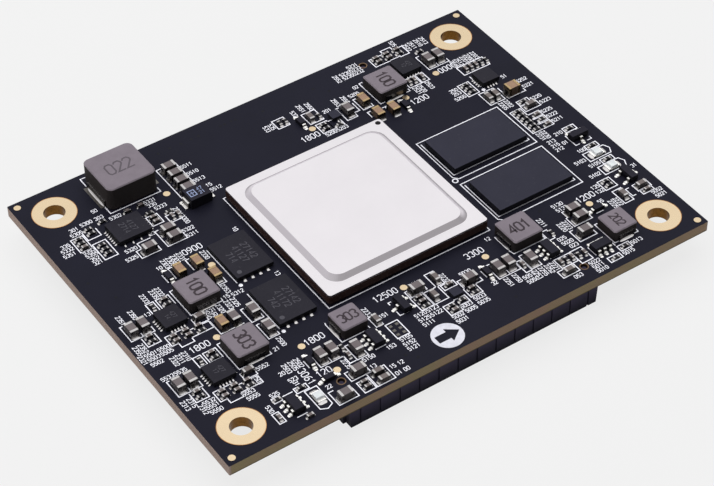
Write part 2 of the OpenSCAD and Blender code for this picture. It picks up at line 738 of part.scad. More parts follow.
module small_inductor_2() { small_inductor(2); }

module small_inductor_clips() { on_board(small_inductor_places) inductor_clips(small_w); }

module power_stage_chip() { on_board([power_stage_place]) leadless_body(stage_l, stage_w, chip_h); }

module converter_chip(i) { on_board([converter_places[i - 1]]) leadless_body(conv_w, conv_w, chip_h); }

module converter_chip_1() { converter_chip(1); }

module converter_chip_2() { converter_chip(2); }

module converter_chip_3() { converter_chip(3); }

module controller_chip() { on_board([controller_place]) leadless_body(control_w, control_w, chip_h); }

module monitor_chips() {
    on_board(monitor_places)
        leadless_body(monitor_w, monitor_w, chip_h - chip_lead_t);
}

module leadless_chip_pads() {
    wide_pitch = 2.6 * chip_lead_pitch;
    on_board([power_stage_place])
        leadless_pads(stage_l, stage_w, wide_pitch, chip_lead_pitch);
    on_board(converter_places)
        leadless_pads(conv_w, conv_w, chip_lead_pitch, chip_lead_pitch);
    on_board([controller_place])
        leadless_pads(control_w, control_w, chip_lead_pitch, chip_lead_pitch);
    on_board(monitor_places)
        leadless_pads(monitor_w, monitor_w, chip_lead_pitch, chip_lead_pitch, false);
}

module regulator_bodies() {
    color([0.16, 0.16, 0.18])
        on_board(regulator_places)
            moulded_body(sot_l, regulator_w, sot_h);
}

module regulator_leads() {
    color([0.78, 0.77, 0.75])
        on_board(regulator_places)
            for (turn = [0, 180], k = [-1, 0, 1])
                rotate(turn)
                    translate([k * sot_pitch, 0, 0])
                        gull_lead(sot_lead_w, regulator_w, sot_h, sot_span);
}

module transistor_bodies() {
    color([0.16, 0.16, 0.18])
        on_board(transistor_places)
            moulded_body(sot_l, transistor_w, sot_h);
}

// Two leads on the +Y side and one on the -Y side
module transistor_leads() {
    color([0.78, 0.77, 0.75])
        on_board(transistor_places) {
            for (k = [-1, 1])
                translate([k * sot_pitch, 0, 0])
                    gull_lead(sot_lead_w, transistor_w, sot_h, sot_span);
            rotate(180)
                gull_lead(sot_lead_w, transistor_w, sot_h, sot_span);
        }
}

// Diodes run along X, so their leaning sides and leads are at the ends
module diode_body(l, w, h) {
    color([0.15, 0.15, 0.17])
        rotate(90)
            moulded_body(w, l, h);
}

module diode_ends(l, w, h) {
    lead_share = 0.6;
    foot_span = l + 2 * (2 * lead_t + diode_foot);
    color([0.78, 0.77, 0.75])
        for (turn = [90, 270])
            rotate(turn)
                gull_lead(w * lead_share, l, h, foot_span);
}

module diode_bodies() { on_board(diode_places) diode_body(diode_l, diode_w, diode_h); }

module diode_leads() { on_board(diode_places) diode_ends(diode_l, diode_w, diode_h); }

module input_diode_body() {
    on_board([input_diode_place])
        diode_body(input_diode_l, input_diode_w, input_diode_h);
}

module input_diode_leads() {
    on_board([input_diode_place])
        diode_ends(input_diode_l, input_diode_w, input_diode_h);
}

module led_bases() {
    color([0.93, 0.93, 0.88])
        on_board(led_places)
            block(led_l - 2 * led_end, led_w, led_base_t);
}

// Clear lens with sloping ends, on the base
module led_lenses() {
    lens_l = led_l - 2 * led_end;
    lens_top = led_base_t + led_lens_h;
    slope = 0.1;
    color([0.9, 0.95, 0.88, 0.8])
        on_board(led_places)
            rotate(90)
                x_prism(led_w, [
                    [-lens_l / 2, led_base_t], [lens_l / 2, led_base_t],
                    [lens_l / 2 - slope, lens_top], [-lens_l / 2 + slope, lens_top]
                ]);
}

module led_ends() {
    color([0.85, 0.75, 0.5])
        on_board(led_places)
            chip_ends(led_l, led_w, led_base_t, led_end);
}

module bulk_capacitors() {
    color([0.6, 0.54, 0.5])
        on_board(bulk_places)
            chip_body(bulk_l, bulk_w, bulk_h, bulk_end);
}

module bulk_capacitor_ends() {
    color([0.8, 0.79, 0.77])
        on_board(bulk_places)
            chip_ends(bulk_l, bulk_w, bulk_h, bulk_end);
}

module output_capacitors() {
    color([0.72, 0.52, 0.3]) {
        on_board(output_places)
            chip_body(bulk_l, bulk_w, bulk_h, bulk_end);
        on_board([square_cap_place])
            chip_body(bulk_l, square_cap_w, square_cap_w, bulk_end);
    }
}

module output_capacitor_ends() {
    color([0.86, 0.78, 0.62]) {
        on_board(output_places)
            chip_ends(bulk_l, bulk_w, bulk_h, bulk_end);
        on_board([square_cap_place])
            chip_ends(bulk_l, square_cap_w, square_cap_w, bulk_end);
    }
}

module mid_capacitors() {
    color([0.58, 0.5, 0.44])
        on_board(mid_places)
            chip_body(mid_l, mid_w, mid_w, mid_end);
}

module mid_capacitor_ends() {
    color([0.8, 0.79, 0.77])
        on_board(mid_places)
            chip_ends(mid_l, mid_w, mid_w, mid_end);
}

module small_capacitors() {
    color([0.55, 0.46, 0.4])
        on_board(small_cap_places)
            chip_body(tiny_l, tiny_w, tiny_cap_h, tiny_end);
}

module small_capacitor_ends() {
    color([0.8, 0.79, 0.77])
        on_board(small_cap_places)
            chip_ends(tiny_l, tiny_w, tiny_cap_h, tiny_end);
}

module small_resistors() {
    color([0.12, 0.12, 0.14])
        on_board(small_res_places)
            chip_body(tiny_l, tiny_w, tiny_res_h, tiny_end);
}

module small_resistor_ends() {
    color([0.8, 0.79, 0.77])
        on_board(small_res_places)
            chip_ends(tiny_l, tiny_w, tiny_res_h, tiny_end);
}

// Sets children on the board's underside at each place
module under_board(places) {
    for (p = places)
        translate([p[0], p[1], under_z])
            rotate([180, 0, p[2]])
                children();
}

module decoupling_capacitors() {
    color([0.55, 0.46, 0.4])
        under_board(decoupling_places)
            chip_body(tiny_l, tiny_w, tiny_cap_h, tiny_end);
}

module decoupling_capacitor_ends() {
    color([0.8, 0.79, 0.77])
        under_board(decoupling_places)
            chip_ends(tiny_l, tiny_w, tiny_cap_h, tiny_end);
}

// Core of the front connector: a tongue, a floor with ribs between the cells, end posts
// with a key between tapered cheeks that meet the board, and locating pegs
module connector_housing() {
    inside_w = conn_w - 2 * conn_wall;
    slit_w = contact_t + slit_gap;
    floor_z = wall_h - conn_floor_t;
    color([0.13, 0.13, 0.17])
        translate([0, -conn_y, 0]) {
            block(conn_body_l, tongue_t, wall_h - tongue_setback, tongue_setback);
            difference() {
                union() {
                    block(conn_body_l, inside_w, conn_floor_t, floor_z);
                    for (k = [1:conn_cells - 1])
                        translate([(k - conn_cells / 2) * cell_l, 0, 0])
                            block(rib_t, inside_w, conn_floor_t + rib_h, floor_z - rib_h);
                }
                for (s = [-1, 1])
                    translate([0, s * (tongue_t + slit_w) / 2, 0])
                        block(conn_body_l, slit_w, conn_h);
            }
            for (s = [-1, 1])
                mirror([s < 0 ? 1 : 0, 0, 0])
                    translate([conn_body_l / 2, 0, 0]) {
                        difference() {
                            rotate([90, 0, 0])
                                linear_extrude(conn_w, center = true)
                                    polygon([
                                        [0, post_step], [post_l - post_taper, post_step],
                                        [post_l, conn_h], [0, conn_h]
                                    ]);
                            for (side = [-1, 1])
                                translate([0, side * conn_w / 2, 0])
                                    block(groove_w, 2 * groove_d, conn_h + cut);
                        }
                        translate([(post_l + key_out) / 2, 0, 0])
                            block(post_l + key_out, conn_w - 2 * cheek_t, conn_h - post_step, post_step);
                    }
            for (s = [-1, 1])
                translate([s * peg_x, -s * peg_offset, conn_h])
                    cylinder(d = peg_d, h = peg_h);
        }
}

// Side walls of the front connector: grooves outside mark the cells, and a rebate runs
// along the mating edge
module connector_walls() {
    color([0.13, 0.13, 0.17])
        translate([0, -conn_y, 0])
            for (s = [-1, 1])
                difference() {
                    translate([0, s * (conn_w - conn_wall) / 2, 0])
                        block(conn_body_l, conn_wall, wall_h);
                    translate([0, s * conn_w / 2, 0])
                        block(conn_body_l + 2 * cut, 2 * groove_d, rebate_h + cut, -cut);
                    for (k = [0:conn_cells])
                        translate([(k - conn_cells / 2) * cell_l, s * conn_w / 2, -cut])
                            block(groove_w, 2 * groove_d, wall_h + 2 * cut);
                }
}

// Contacts of the front connector: a blade on the tongue and a tail under the board
module connector_contacts() {
    blade_y = tongue_t / 2;
    tail_y = conn_w / 2 + tail_out;
    blade_end = 2 * tongue_setback;
    count = conn_cells * cell_contacts;
    color([0.88, 0.76, 0.5])
        for (turn = [0, 180], k = [0:count - 1])
            translate([0, -conn_y, 0])
                rotate(turn)
                    translate([(k - (count - 1) / 2) * contact_pitch, 0, 0])
                        x_prism(contact_w, [
                            [blade_y, blade_end], [blade_y + contact_t, blade_end],
                            [blade_y + contact_t, conn_h - contact_t], [tail_y, conn_h - contact_t],
                            [tail_y, conn_h], [blade_y, conn_h]
                        ]);
}

module front_connector_housing() { connector_housing(); }

module front_connector_walls() { connector_walls(); }

module front_connector_contacts() { connector_contacts(); }

module rear_connector_housing() { mirror([0, 1, 0]) connector_housing(); }

module rear_connector_walls() { mirror([0, 1, 0]) connector_walls(); }

module rear_connector_contacts() { mirror([0, 1, 0]) connector_contacts(); }

circuit_board();
mounting_hole_plating();
test_pads();
processor_substrate();
processor_die();
processor_lid();
processor_solder_balls();
memory_chip_1();
memory_chip_2();
memory_solder_balls();
flash_chip_1();
flash_chip_2();
flash_pads();
core_inductor();
core_inductor_clips();
rail_inductor_1();
rail_inductor_2();
rail_inductor_3();
rail_inductor_4();
rail_inductor_clips();
small_inductor_1();
small_inductor_2();
small_inductor_clips();
power_stage_chip();
converter_chip_1();
converter_chip_2();
converter_chip_3();
controller_chip();
monitor_chips();
leadless_chip_pads();
regulator_bodies();
regulator_leads();
transistor_bodies();
transistor_leads();
diode_bodies();
diode_leads();
input_diode_body();
input_diode_leads();
led_bases();
led_lenses();
led_ends();
bulk_capacitors();
bulk_capacitor_ends();
output_capacitors();
output_capacitor_ends();
mid_capacitors();
mid_capacitor_ends();
small_capacitors();
small_capacitor_ends();
small_resistors();
small_resistor_ends();
decoupling_capacitors();
decoupling_capacitor_ends();
front_connector_housing();
front_connector_walls();
front_connector_contacts();
rear_connector_housing();
rear_connector_walls();
rear_connector_contacts();
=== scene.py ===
"""Looks of a system on module: finishes, printed marks, solder and studio stage.

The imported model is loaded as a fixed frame. Every piece made here lies on it, in metres,
and rides on its one body. Places on the board are in millimetres from its centre.
"""

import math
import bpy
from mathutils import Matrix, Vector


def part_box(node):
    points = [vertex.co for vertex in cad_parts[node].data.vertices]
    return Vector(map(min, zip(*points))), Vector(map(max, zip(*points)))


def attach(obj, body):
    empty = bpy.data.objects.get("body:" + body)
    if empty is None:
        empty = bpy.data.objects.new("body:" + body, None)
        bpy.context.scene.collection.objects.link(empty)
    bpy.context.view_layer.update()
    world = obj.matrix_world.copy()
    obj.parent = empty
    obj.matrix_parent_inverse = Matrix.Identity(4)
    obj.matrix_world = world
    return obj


bl_info = {
    "name": "System on Module",
    "version": (1, 0, 0),
    "blender": (4, 5, 0),
    "location": "View3D > Sidebar > Module",
    "description": "Finishes, printed marks, solder and stage of a processor module",
    "category": "Object",
}

import bpy
from mathutils import Matrix, Vector

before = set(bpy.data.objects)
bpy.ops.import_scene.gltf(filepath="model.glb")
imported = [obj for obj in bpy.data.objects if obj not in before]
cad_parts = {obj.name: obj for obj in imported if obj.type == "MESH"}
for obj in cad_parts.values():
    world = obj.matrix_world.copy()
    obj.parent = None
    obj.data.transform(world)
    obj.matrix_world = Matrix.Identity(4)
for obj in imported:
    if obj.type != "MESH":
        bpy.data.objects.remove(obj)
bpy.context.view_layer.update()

BODY = "root"
MM = 0.001
BOARD_LOW, BOARD_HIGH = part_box("circuit_board")
TOP = BOARD_HIGH.z

# The photograph's frame, and the camera that fits the board's corners in it
IMAGE_WIDTH = 714
FOCAL_PIXELS = 2278.64
SENSOR_WIDTH = 36.0
CAMERA_PLACE = (-132.37, -198.82, 225.41)
CAMERA_RIGHT = (0.82539, -0.56442, -0.01248)
CAMERA_DOWN = (-0.39479, -0.56126, -0.72741)
CAMERA_FORWARD = (0.40356, 0.60533, -0.68609)

# The two rail converters on the left repeat one block, this far apart along Y
BLOCK_STEP = 12.35

# Printed boxes round parts: x and y of two opposite corners
PRINT_BOXES = (
    (-36.0, 15.5, -34.1, 18.5), (-33.9, 12.3, -31.8, 16.0), (-18.5, 17.0, -15.3, 24.4),
    (-24.9, 14.4, -23.1, 16.5), (-22.4, 13.6, -20.5, 15.2), (1.2, 21.9, 3.2, 23.95),
    (6.1, 17.25, 8.05, 19.5), (8.05, 17.3, 9.9, 19.2), (5.65, 20.05, 8.0, 22.7),
    (21.3, 25.6, 24.0, 27.6), (24.0, 25.7, 25.8, 28.4), (25.9, 25.5, 27.5, 27.6),
    (22.7, 18.5, 24.8, 20.6), (25.0, 18.5, 26.3, 20.6), (31.2, 16.2, 36.0, 18.3),
    (28.7, 11.7, 30.7, 14.7), (30.2, 8.2, 31.5, 11.3), (31.5, 8.2, 32.9, 11.3),
    (31.4, -0.6, 33.3, 5.1), (33.3, 2.1, 35.3, 3.2), (33.3, 0.85, 35.3, 1.9),
    (33.3, -0.6, 35.3, 0.6), (33.6, 4.0, 36.4, 5.4), (33.7, 5.5, 35.7, 6.6),
    (35.5, -3.3, 37.5, -2.2), (35.7, -8.2, 37.8, -7.2), (35.7, -11.9, 37.8, -10.8),
    (32.3, -16.6, 34.4, -14.5), (17.2, -25.7, 20.0, -23.75), (20.1, -26.5, 22.0, -23.7),
    (-9.3, -23.7, -7.3, -20.7), (-3.55, -21.25, -1.5, -18.4), (-3.45, -18.2, -0.5, -17.0),
    (-10.4, -20.3, -9.3, -18.2), (-16.5, -29.4, -13.6, -26.6), (-18.5, -29.4, -16.7, -27.3),
    (0.7, -18.6, 2.2, -15.8), (1.3, -19.9, 3.4, -18.8), (-1.4, -21.3, 0.95, -18.6),
    (-0.8, -24.3, 1.2, -22.3), (1.2, -23.4, 3.0, -22.1), (3.5, -23.0, 5.5, -21.2),
    (16.15, -27.35, 19.0, -25.9), (12.6, -23.5, 13.6, -21.0), (32.8, -20.3, 34.4, -17.3),
    (36.0, -19.4, 38.4, -17.9), (36.2, -20.3, 38.2, -19.3), (26.1, -27.7, 28.1, -26.6),
    (23.5, -28.7, 25.6, -27.7), (-30.7, -27.6, -29.7, -25.6), (-25.9, -24.4, -24.0, -23.4),
    (-29.3, -24.2, -28.1, -23.3), (-13.65, -13.65, 13.65, 13.65), (19.2, -20.2, 20.2, -18.2),
)

# Printed open lines, the outlines of parts and groups: each goes from place to place along X first,
# then along Y
PRINT_LINES = (
    ((-28.5, 21.9), (-28.5, 20.2), (-20.2, 21.2)), ((-28.5, 27.3), (-28.5, 29.1), (-27.5, 29.1)),
    ((-33.9, 18.8), (-33.9, 17.1), (-31.8, 18.8)),
    ((-26.4, 12.6), (-28.6, 11.3), (-29.5, 9.6), (-26.4, 11.0)),
    ((-24.7, 13.3), (-25.3, 9.6), (-22.1, 11.0)), ((-29.0, 5.1), (-29.0, 3.3)),
    ((-27.0, 5.7), (-27.7, 3.4)), ((-24.2, 5.8), (-24.8, 3.4)), ((-21.3, 5.8), (-21.3, -2.2)),
    ((-21.3, -4.8), (-21.3, -13.0)), ((-23.5, -0.3), (-23.5, -1.1), (-22.3, 0.0)),
    ((-28.3, -6.4), (-28.3, -9.3), (-24.6, -9.3)), ((-23.2, -6.9), (-23.7, -9.85), (-21.8, -9.0)),
    ((-23.0, -10.6), (-23.5, -13.8), (-21.8, -13.2)), ((4.4, 22.3), (4.4, 20.6)),
    ((11.2, 20.9), (10.7, 17.65), (12.5, 18.6), (13.5, 20.6)), ((14.5, 21.2), (14.0, 18.3), (15.8, 19.0)),
    ((14.7, 17.5), (14.1, 16.2)), ((16.5, 17.1), (17.7, 17.1)), ((17.0, 17.1), (17.0, 15.8)),
    ((17.5, 23.8), (16.9, 18.0), (17.7, 18.0)), ((21.6, 18.0), (22.3, 18.6)),
    ((28.2, 24.0), (27.6, 20.4), (31.35, 21.2)), ((29.4, 20.4), (29.4, 21.2)),
    ((31.6, 15.5), (31.6, 12.6)), ((31.3, 14.0), (32.0, 14.0)),
    ((33.45, 10.9), (33.45, 8.0), (36.6, 8.7)), ((16.36, 6.9), (16.36, -1.32), (30.1, -0.9)),
    ((16.36, -4.0), (16.36, -12.15), (30.1, -11.7)), ((35.5, -3.8), (34.9, -6.35), (35.6, -6.35)),
    ((37.0, -6.35), (37.8, -5.8)), ((-6.0, -17.4), (-6.5, -17.9)),
    ((-6.5, -19.4), (-6.5, -20.3), (-5.0, -20.3)), ((-20.7, -20.0), (-20.7, -22.2), (-17.1, -21.0)),
    ((-18.9, -21.2), (-18.9, -22.2)), ((-16.1, -20.2), (-17.1, -23.8), (-16.1, -23.8)),
    ((-15.4, -20.8), (-15.95, -23.85), (-14.2, -22.6)), ((-18.2, -24.9), (-18.8, -26.65), (-15.7, -25.6)),
    ((-21.7, -26.6), (-22.5, -29.3), (-19.4, -27.6)), ((-22.0, -19.9), (-22.0, -21.4)),
    ((-20.2, -24.0), (-21.8, -24.0)), ((-27.8, -23.7), (-26.2, -23.7)), ((-28.2, -27.9), (-26.6, -27.9)),
    ((-12.9, -23.65), (-11.2, -23.65)), ((4.4, -19.4), (3.7, -21.2), (6.8, -20.5)),
    ((9.4, -19.2), (8.8, -22.4), (12.5, -21.4)), ((10.65, -21.5), (10.65, -22.4)),
    ((13.3, -15.2), (13.3, -18.3)), ((14.3, -20.3), (13.7, -23.4), (15.4, -22.4)),
    ((17.0, -23.2), (18.6, -23.2)), ((18.9, -23.75), (18.9, -25.7)),
    ((23.2, -20.4), (22.6, -22.9), (25.6, -22.0)), ((28.1, -19.6), (29.4, -19.6)),
    ((35.3, -18.0), (34.7, -19.7), (35.3, -19.7)), ((26.9, -21.3), (26.4, -25.85), (27.9, -25.85)),
    ((29.9, -25.85), (30.6, -25.3)), ((22.7, -24.4), (22.7, -26.3)), ((26.1, -24.4), (26.1, -26.3)),
)
# Printed open lines with a slanted stretch, each a list of corners
SLANTED_LINES = (
    ((-15.7, -15.6), (-15.8, -16.0), (-15.8, -19.95), (-11.2, -19.95), (-11.2, -19.4)),
    ((7.9, -19.6), (7.6, -19.7), (7.6, -21.1)),
    ((13.3, -18.6), (13.5, -19.5), (19.0, -19.5), (19.0, -18.8)),
    ((24.6, -16.6), (24.2, -16.6), (24.2, -17.9), (23.9, -18.0), (23.9, -19.95), (27.1, -19.95),
     (27.1, -19.2)),
)

# Printed shapes of one converter block, drawn again one step lower
BLOCK_BOXES = (
    (-33.9, -0.65, -32.7, 1.35), (-32.3, -0.65, -30.3, 1.35), (-33.9, -8.4, -31.9, -5.5),
    (-30.2, -6.0, -28.2, -4.7), (-31.9, -7.6, -28.4, -6.2),
)
BLOCK_LINES = (
    ((-29.2, 1.7), (-29.8, -3.95), (-24.7, -3.3)), ((-38.5, -0.4), (-38.95, -3.65), (-37.1, -2.9)),
    ((-37.1, -3.65), (-35.3, -2.6)), ((-37.6, -3.9), (-37.6, -5.8), (-35.6, -3.9)),
    ((-36.6, -5.0), (-36.6, -5.8)), ((-33.9, -5.5), (-34.9, -7.5), (-33.9, -7.5)),
)

# Printed outlines of the memory chips: top, bottom and the chamfered lower left corner
MEMORY_LEFT, MEMORY_RIGHT, MEMORY_CHAMFER = 15.9, 30.7, 0.7
MEMORY_ROWS = ((7.4, -2.4), (-3.5, -13.2))

# Printed boxes of the indicator lights: centre and the way that the arrow end points
LIGHT_BOXES = ((36.3, -9.45, 0), (36.3, -12.95, 0), (-24.0, -26.5, -90))
LIGHT_BOX_LENGTH, LIGHT_BOX_WIDTH, LIGHT_TIP = 3.8, 1.9, 0.45

# Printed dots beside the first pin of a chip: x, y and diameter
PRINT_DOTS = (
    (-21.1, -2.86, 0.6), (-21.1, -13.7, 0.6), (31.5, 11.8, 0.6),
    (-28.4, -3.95, 0.32), (-26.0, -3.95, 0.32), (-28.5, -16.25, 0.32), (-26.0, -16.25, 0.32),
)

# Printed ring beside the memory chips: place, inner and outer radius
PRINT_RING = (15.8, -2.45, 0.3, 0.48)

# Reference numbers that read along X: lower left corner and count of digits
NUMBERS_ACROSS = (
    (-35.2, 19.9, 3), (-33.3, 20.1, 4), (-31.0, 20.1, 3), (-35.5, 18.9, 4), (-29.2, 18.9, 4),
    (-23.5, 19.0, 4), (-23.4, 18.1, 3), (-22.8, 17.1, 4), (-37.8, 17.6, 3), (-38.2, 16.7, 4),
    (-38.4, 15.7, 4), (-30.6, 21.7, 2), (-35.8, 14.9, 4), (-35.8, 14.0, 4), (-35.6, 13.05, 3),
    (-35.6, 12.15, 3), (-30.8, 11.7, 4), (-26.2, 12.9, 2), (-31.6, 10.1, 4), (-22.0, 10.8, 4),
    (-22.0, 9.6, 4), (-29.0, 6.2, 2), (-35.0, -0.7, 2), (-24.3, -3.9, 2), (-23.1, -4.1, 4),
    (-38.9, -7.4, 4), (-36.9, -7.4, 4), (-38.9, -8.3, 4), (-36.9, -8.3, 4), (-39.0, -9.3, 4),
    (-28.2, -5.0, 4), (-28.0, -5.9, 3), (-39.3, -12.4, 4), (-37.3, -12.4, 4), (-37.0, -19.2, 4),
    (-37.0, -20.1, 4), (-37.0, -21.1, 4), (-31.9, -20.8, 4), (-31.8, -21.8, 4), (-27.9, -17.9, 4),
    (-24.1, -16.2, 2), (-26.0, -20.5, 2), (-25.6, -22.2, 3), (-29.1, -23.1, 3), (-22.2, -26.0, 2),
    (-15.2, 22.6, 4), (-15.2, 20.8, 4), (-15.2, 19.0, 4), (-14.2, 17.1, 2), (-14.2, 15.9, 4),
    (8.7, 21.0, 3), (6.2, 16.4, 4), (8.2, 16.4, 4), (13.9, 21.8, 4), (15.6, 23.1, 2),
    (17.5, 27.6, 4), (15.6, 26.7, 4), (17.5, 26.7, 4), (15.6, 25.8, 4), (17.5, 25.8, 4),
    (35.5, 12.3, 2), (27.0, 13.9, 3), (27.0, 13.0, 3), (26.6, 11.9, 4), (36.7, 10.1, 4),
    (36.8, 8.6, 4), (36.0, 5.6, 4), (36.7, 4.2, 4), (35.5, 2.3, 4), (35.5, 1.0, 4),
    (35.5, -0.3, 4), (33.8, -3.0, 3), (31.8, -3.9, 3), (31.8, -4.9, 3), (31.8, -5.9, 3),
    (33.6, -5.2, 2), (34.2, -8.0, 3), (32.2, -9.9, 4), (33.6, -11.5, 4), (32.2, -13.4, 4),
    (38.6, -14.9, 2), (23.7, -15.3, 4), (23.8, -16.3, 4), (30.8, -15.4, 3), (30.8, -16.5, 3),
    (-9.0, -19.3, 3), (-15.4, -24.7, 4), (-11.5, -24.7, 3), (-9.2, -24.5, 4), (-9.3, -25.5, 4),
    (-9.3, -26.5, 4), (-5.0, -22.0, 4), (-3.0, -22.0, 4), (-5.0, -23.0, 4), (-3.0, -23.0, 4),
    (-5.0, -24.0, 4), (-2.2, -16.7, 4), (-15.3, -26.3, 2), (-13.2, -27.8, 2), (-11.9, -27.8, 2),
    (-13.2, -29.2, 2), (-11.9, -29.2, 2), (1.2, -24.1, 4), (1.3, -25.1, 4), (-0.9, -25.1, 4),
    (-0.9, -26.1, 4), (4.8, -18.9, 4), (3.6, -23.9, 4), (3.6, -24.9, 4), (7.4, -22.9, 2),
    (11.6, -24.5, 4), (11.6, -25.5, 4), (17.5, -28.4, 3), (29.8, -18.2, 2), (37.4, -21.0, 4),
    (37.4, -22.0, 4), (20.2, -22.2, 4), (20.8, -23.2, 3), (20.2, -21.2, 3), (20.8, -27.5, 4),
    (20.8, -28.4, 4), (20.8, -29.3, 4), (28.3, -27.5, 4), (26.0, -28.6, 4), (11.8, -15.3, 2),
)

# Reference numbers that read down along -Y: upper left corner and count of digits
NUMBERS_DOWN = (
    (-20.7, 16.0, 4), (-20.7, 14.0, 4), (-27.8, 7.7, 4), (-26.9, 7.7, 4), (-26.1, 7.7, 4),
    (-25.2, 7.7, 4), (-22.3, 6.1, 4), (-33.7, 3.4, 4), (-32.2, 3.4, 4), (-31.3, 3.4, 4),
    (-38.5, 1.6, 4), (-36.6, 1.6, 4), (-23.5, -1.3, 4), (-39.5, -4.7, 4), (-38.6, -4.7, 4),
    (-39.8, -6.6, 4), (-26.1, -4.2, 4), (-24.8, -4.2, 4), (-23.8, -4.3, 4), (-36.4, -9.2, 4),
    (-35.5, -9.2, 4), (-34.6, -9.2, 4), (-39.4, -16.9, 4), (-38.4, -16.9, 4), (-37.8, -18.8, 4),
    (-29.1, -18.4, 4), (-22.7, -14.2, 4), (-24.9, -18.9, 4), (-23.9, -18.9, 4), (-23.0, -18.9, 4),
    (-25.3, -22.3, 2), (-30.7, -24.0, 3), (-0.6, 23.6, 3), (0.3, 23.6, 3), (4.6, 24.2, 3),
    (6.1, 24.9, 4), (7.4, 24.6, 4), (11.2, 23.0, 4), (12.7, 22.8, 4), (14.5, 27.5, 4),
    (22.9, 18.3, 4), (23.8, 18.3, 4), (25.2, 18.3, 4), (26.3, 29.5, 3), (27.6, 27.7, 4),
    (28.6, 27.7, 4), (29.7, 27.7, 4), (30.7, 27.7, 4), (31.2, 20.2, 4), (32.1, 20.2, 4),
    (33.1, 20.2, 4), (34.0, 20.2, 4), (35.0, 20.2, 4), (31.3, 7.9, 4), (32.3, 7.9, 4),
    (31.6, -0.9, 4), (32.5, -0.9, 4), (-10.2, -16.3, 4), (-17.9, -22.7, 4), (2.4, -16.9, 4),
    (9.2, -22.7, 4), (10.6, -22.7, 4), (13.4, -23.7, 4), (14.4, -23.7, 4), (15.4, -23.8, 4),
    (16.3, -23.8, 4), (22.0, -18.2, 4), (22.9, -18.2, 4), (31.0, -18.5, 4), (31.9, -18.5, 4),
    (20.2, -15.8, 4), (-16.0, 7.7, 2), (-16.0, -3.3, 2),
)

# Larger numbers beside the test pads: number, place and turn in degrees
TEST_PAD_NUMBERS = (
    ("1800", 2.6, 17.2, 0), ("1200", 20.8, 15.0, 0), ("0000", 28.6, 18.7, 0), ("0900", -24.3, 6.7, 0),
    ("1800", -33.4, -10.2, 0), ("1800", -20.0, -17.8, 0), ("120", -21.9, -23.6, 0),
    ("3061", -23.7, -21.0, -90), ("12500", -7.8, -16.4, 0), ("3300", 7.5, -16.7, 0),
    ("1200", 27.5, -16.5, 0),
)

# Stroke digits on a grid four wide and six high
DIGIT_STROKES = {
    "0": (((0, 1), (0, 5), (1, 6), (3, 6), (4, 5), (4, 1), (3, 0), (1, 0), (0, 1)),),
    "1": (((0.6, 4.6), (2.2, 6), (2.2, 0)),),
    "2": (((0, 5), (1, 6), (3, 6), (4, 5), (4, 4), (0, 0), (4, 0)),),
    "3": (((0, 5.2), (1, 6), (3, 6), (4, 5), (4, 4), (3, 3.1), (4, 2), (4, 1), (3, 0), (1, 0), (0, 0.8)),),
    "4": (((3.1, 0), (3.1, 6), (0, 1.8), (4, 1.8)),),
    "5": (((4, 6), (0.3, 6), (0, 3.4), (3, 3.6), (4, 2.6), (4, 1), (3, 0), (1, 0), (0, 0.8)),),
    "6": (((3.6, 6), (1.4, 5.2), (0, 3), (0, 1), (1, 0), (3, 0), (4, 1), (4, 2.4), (3, 3.4), (0.2, 2.8)),),
    "7": (((0, 6), (4, 6), (1.4, 0)),),
    "8": (((1, 3.2), (0, 4.2), (0, 5), (1, 6), (3, 6), (4, 5), (4, 4.2), (3, 3.2), (1, 3.2), (0, 2.2),
           (0, 1), (1, 0), (3, 0), (4, 1), (4, 2.2), (3, 3.2)),),
    "9": (((0.4, 0), (2.6, 0.8), (4, 3), (4, 5), (3, 6), (1, 6), (0, 5), (0, 3.6), (1, 2.6), (3.8, 3.2)),),
}
DIGIT_GRID_HEIGHT = 6.0
# Width of a digit's grid square and step to the next digit, as shares of the height
DIGIT_SQUARE = 0.13
DIGIT_STEP = 0.76
INDUCTOR_STEP = 0.66
DIGIT_GRID_WIDTH = 4
# Reference numbers count up with these digits
COUNT_DIGITS = "10352"

# Small covered vias: x and y
VIAS = (
    (-16.3, 27.5), (-14.3, 27.6), (-12.4, 27.5), (-10.6, 27.5), (-9.4, 27.5), (-5.5, 27.5), (-4.8, 27.5),
    (-3.6, 27.6), (-2.9, 27.5), (1.5, 26.8), (10.5, 26.8), (2.8, 25.1), (8.4, 25.0), (12.3, 25.0),
    (-9.0, -28.0), (-10.2, -26.8), (8.6, -26.4), (21.8, -14.6), (-36.4, 5.0), (-38.2, 9.6),
)

# Holes for the connectors' locating pegs: places and the bare rim round each
PEG_HOLES = ((-19.9, -25.8), (19.9, -27.1), (-19.9, 25.8), (19.9, 27.1))
PEG_HOLE_RADIUS, PEG_RIM_WIDTH = 0.525, 0.15
# Width of the darker border of the plated rings
PLATING_BORDER = 0.09

# Corner hole in the lid's rim: place and radius; height of the rim above the package
LID_HOLE, LID_HOLE_RADIUS, LID_RIM = (12.7, 12.7), 0.42, 0.35

# Faint marks on the chips: node, rows of digits, digit height
CHIP_MARKS = (
    ("flash_chip_1", ("27142", "41127", "714"), 0.95), ("flash_chip_2", ("27142", "41172", "742"), 0.95),
    ("power_stage_chip", ("4127", "2714"), 0.8), ("converter_chip_1", ("427", "14"), 0.6),
    ("converter_chip_2", ("427", "17"), 0.6), ("converter_chip_3", ("427", "12"), 0.6),
)
MARK_TURN = -90
MARK_ROW_STEP = 1.5
# Round dimple of a flash chip: distance from its front left corner and radius
DIMPLE_INSET, DIMPLE_RADIUS = 0.95, 0.36

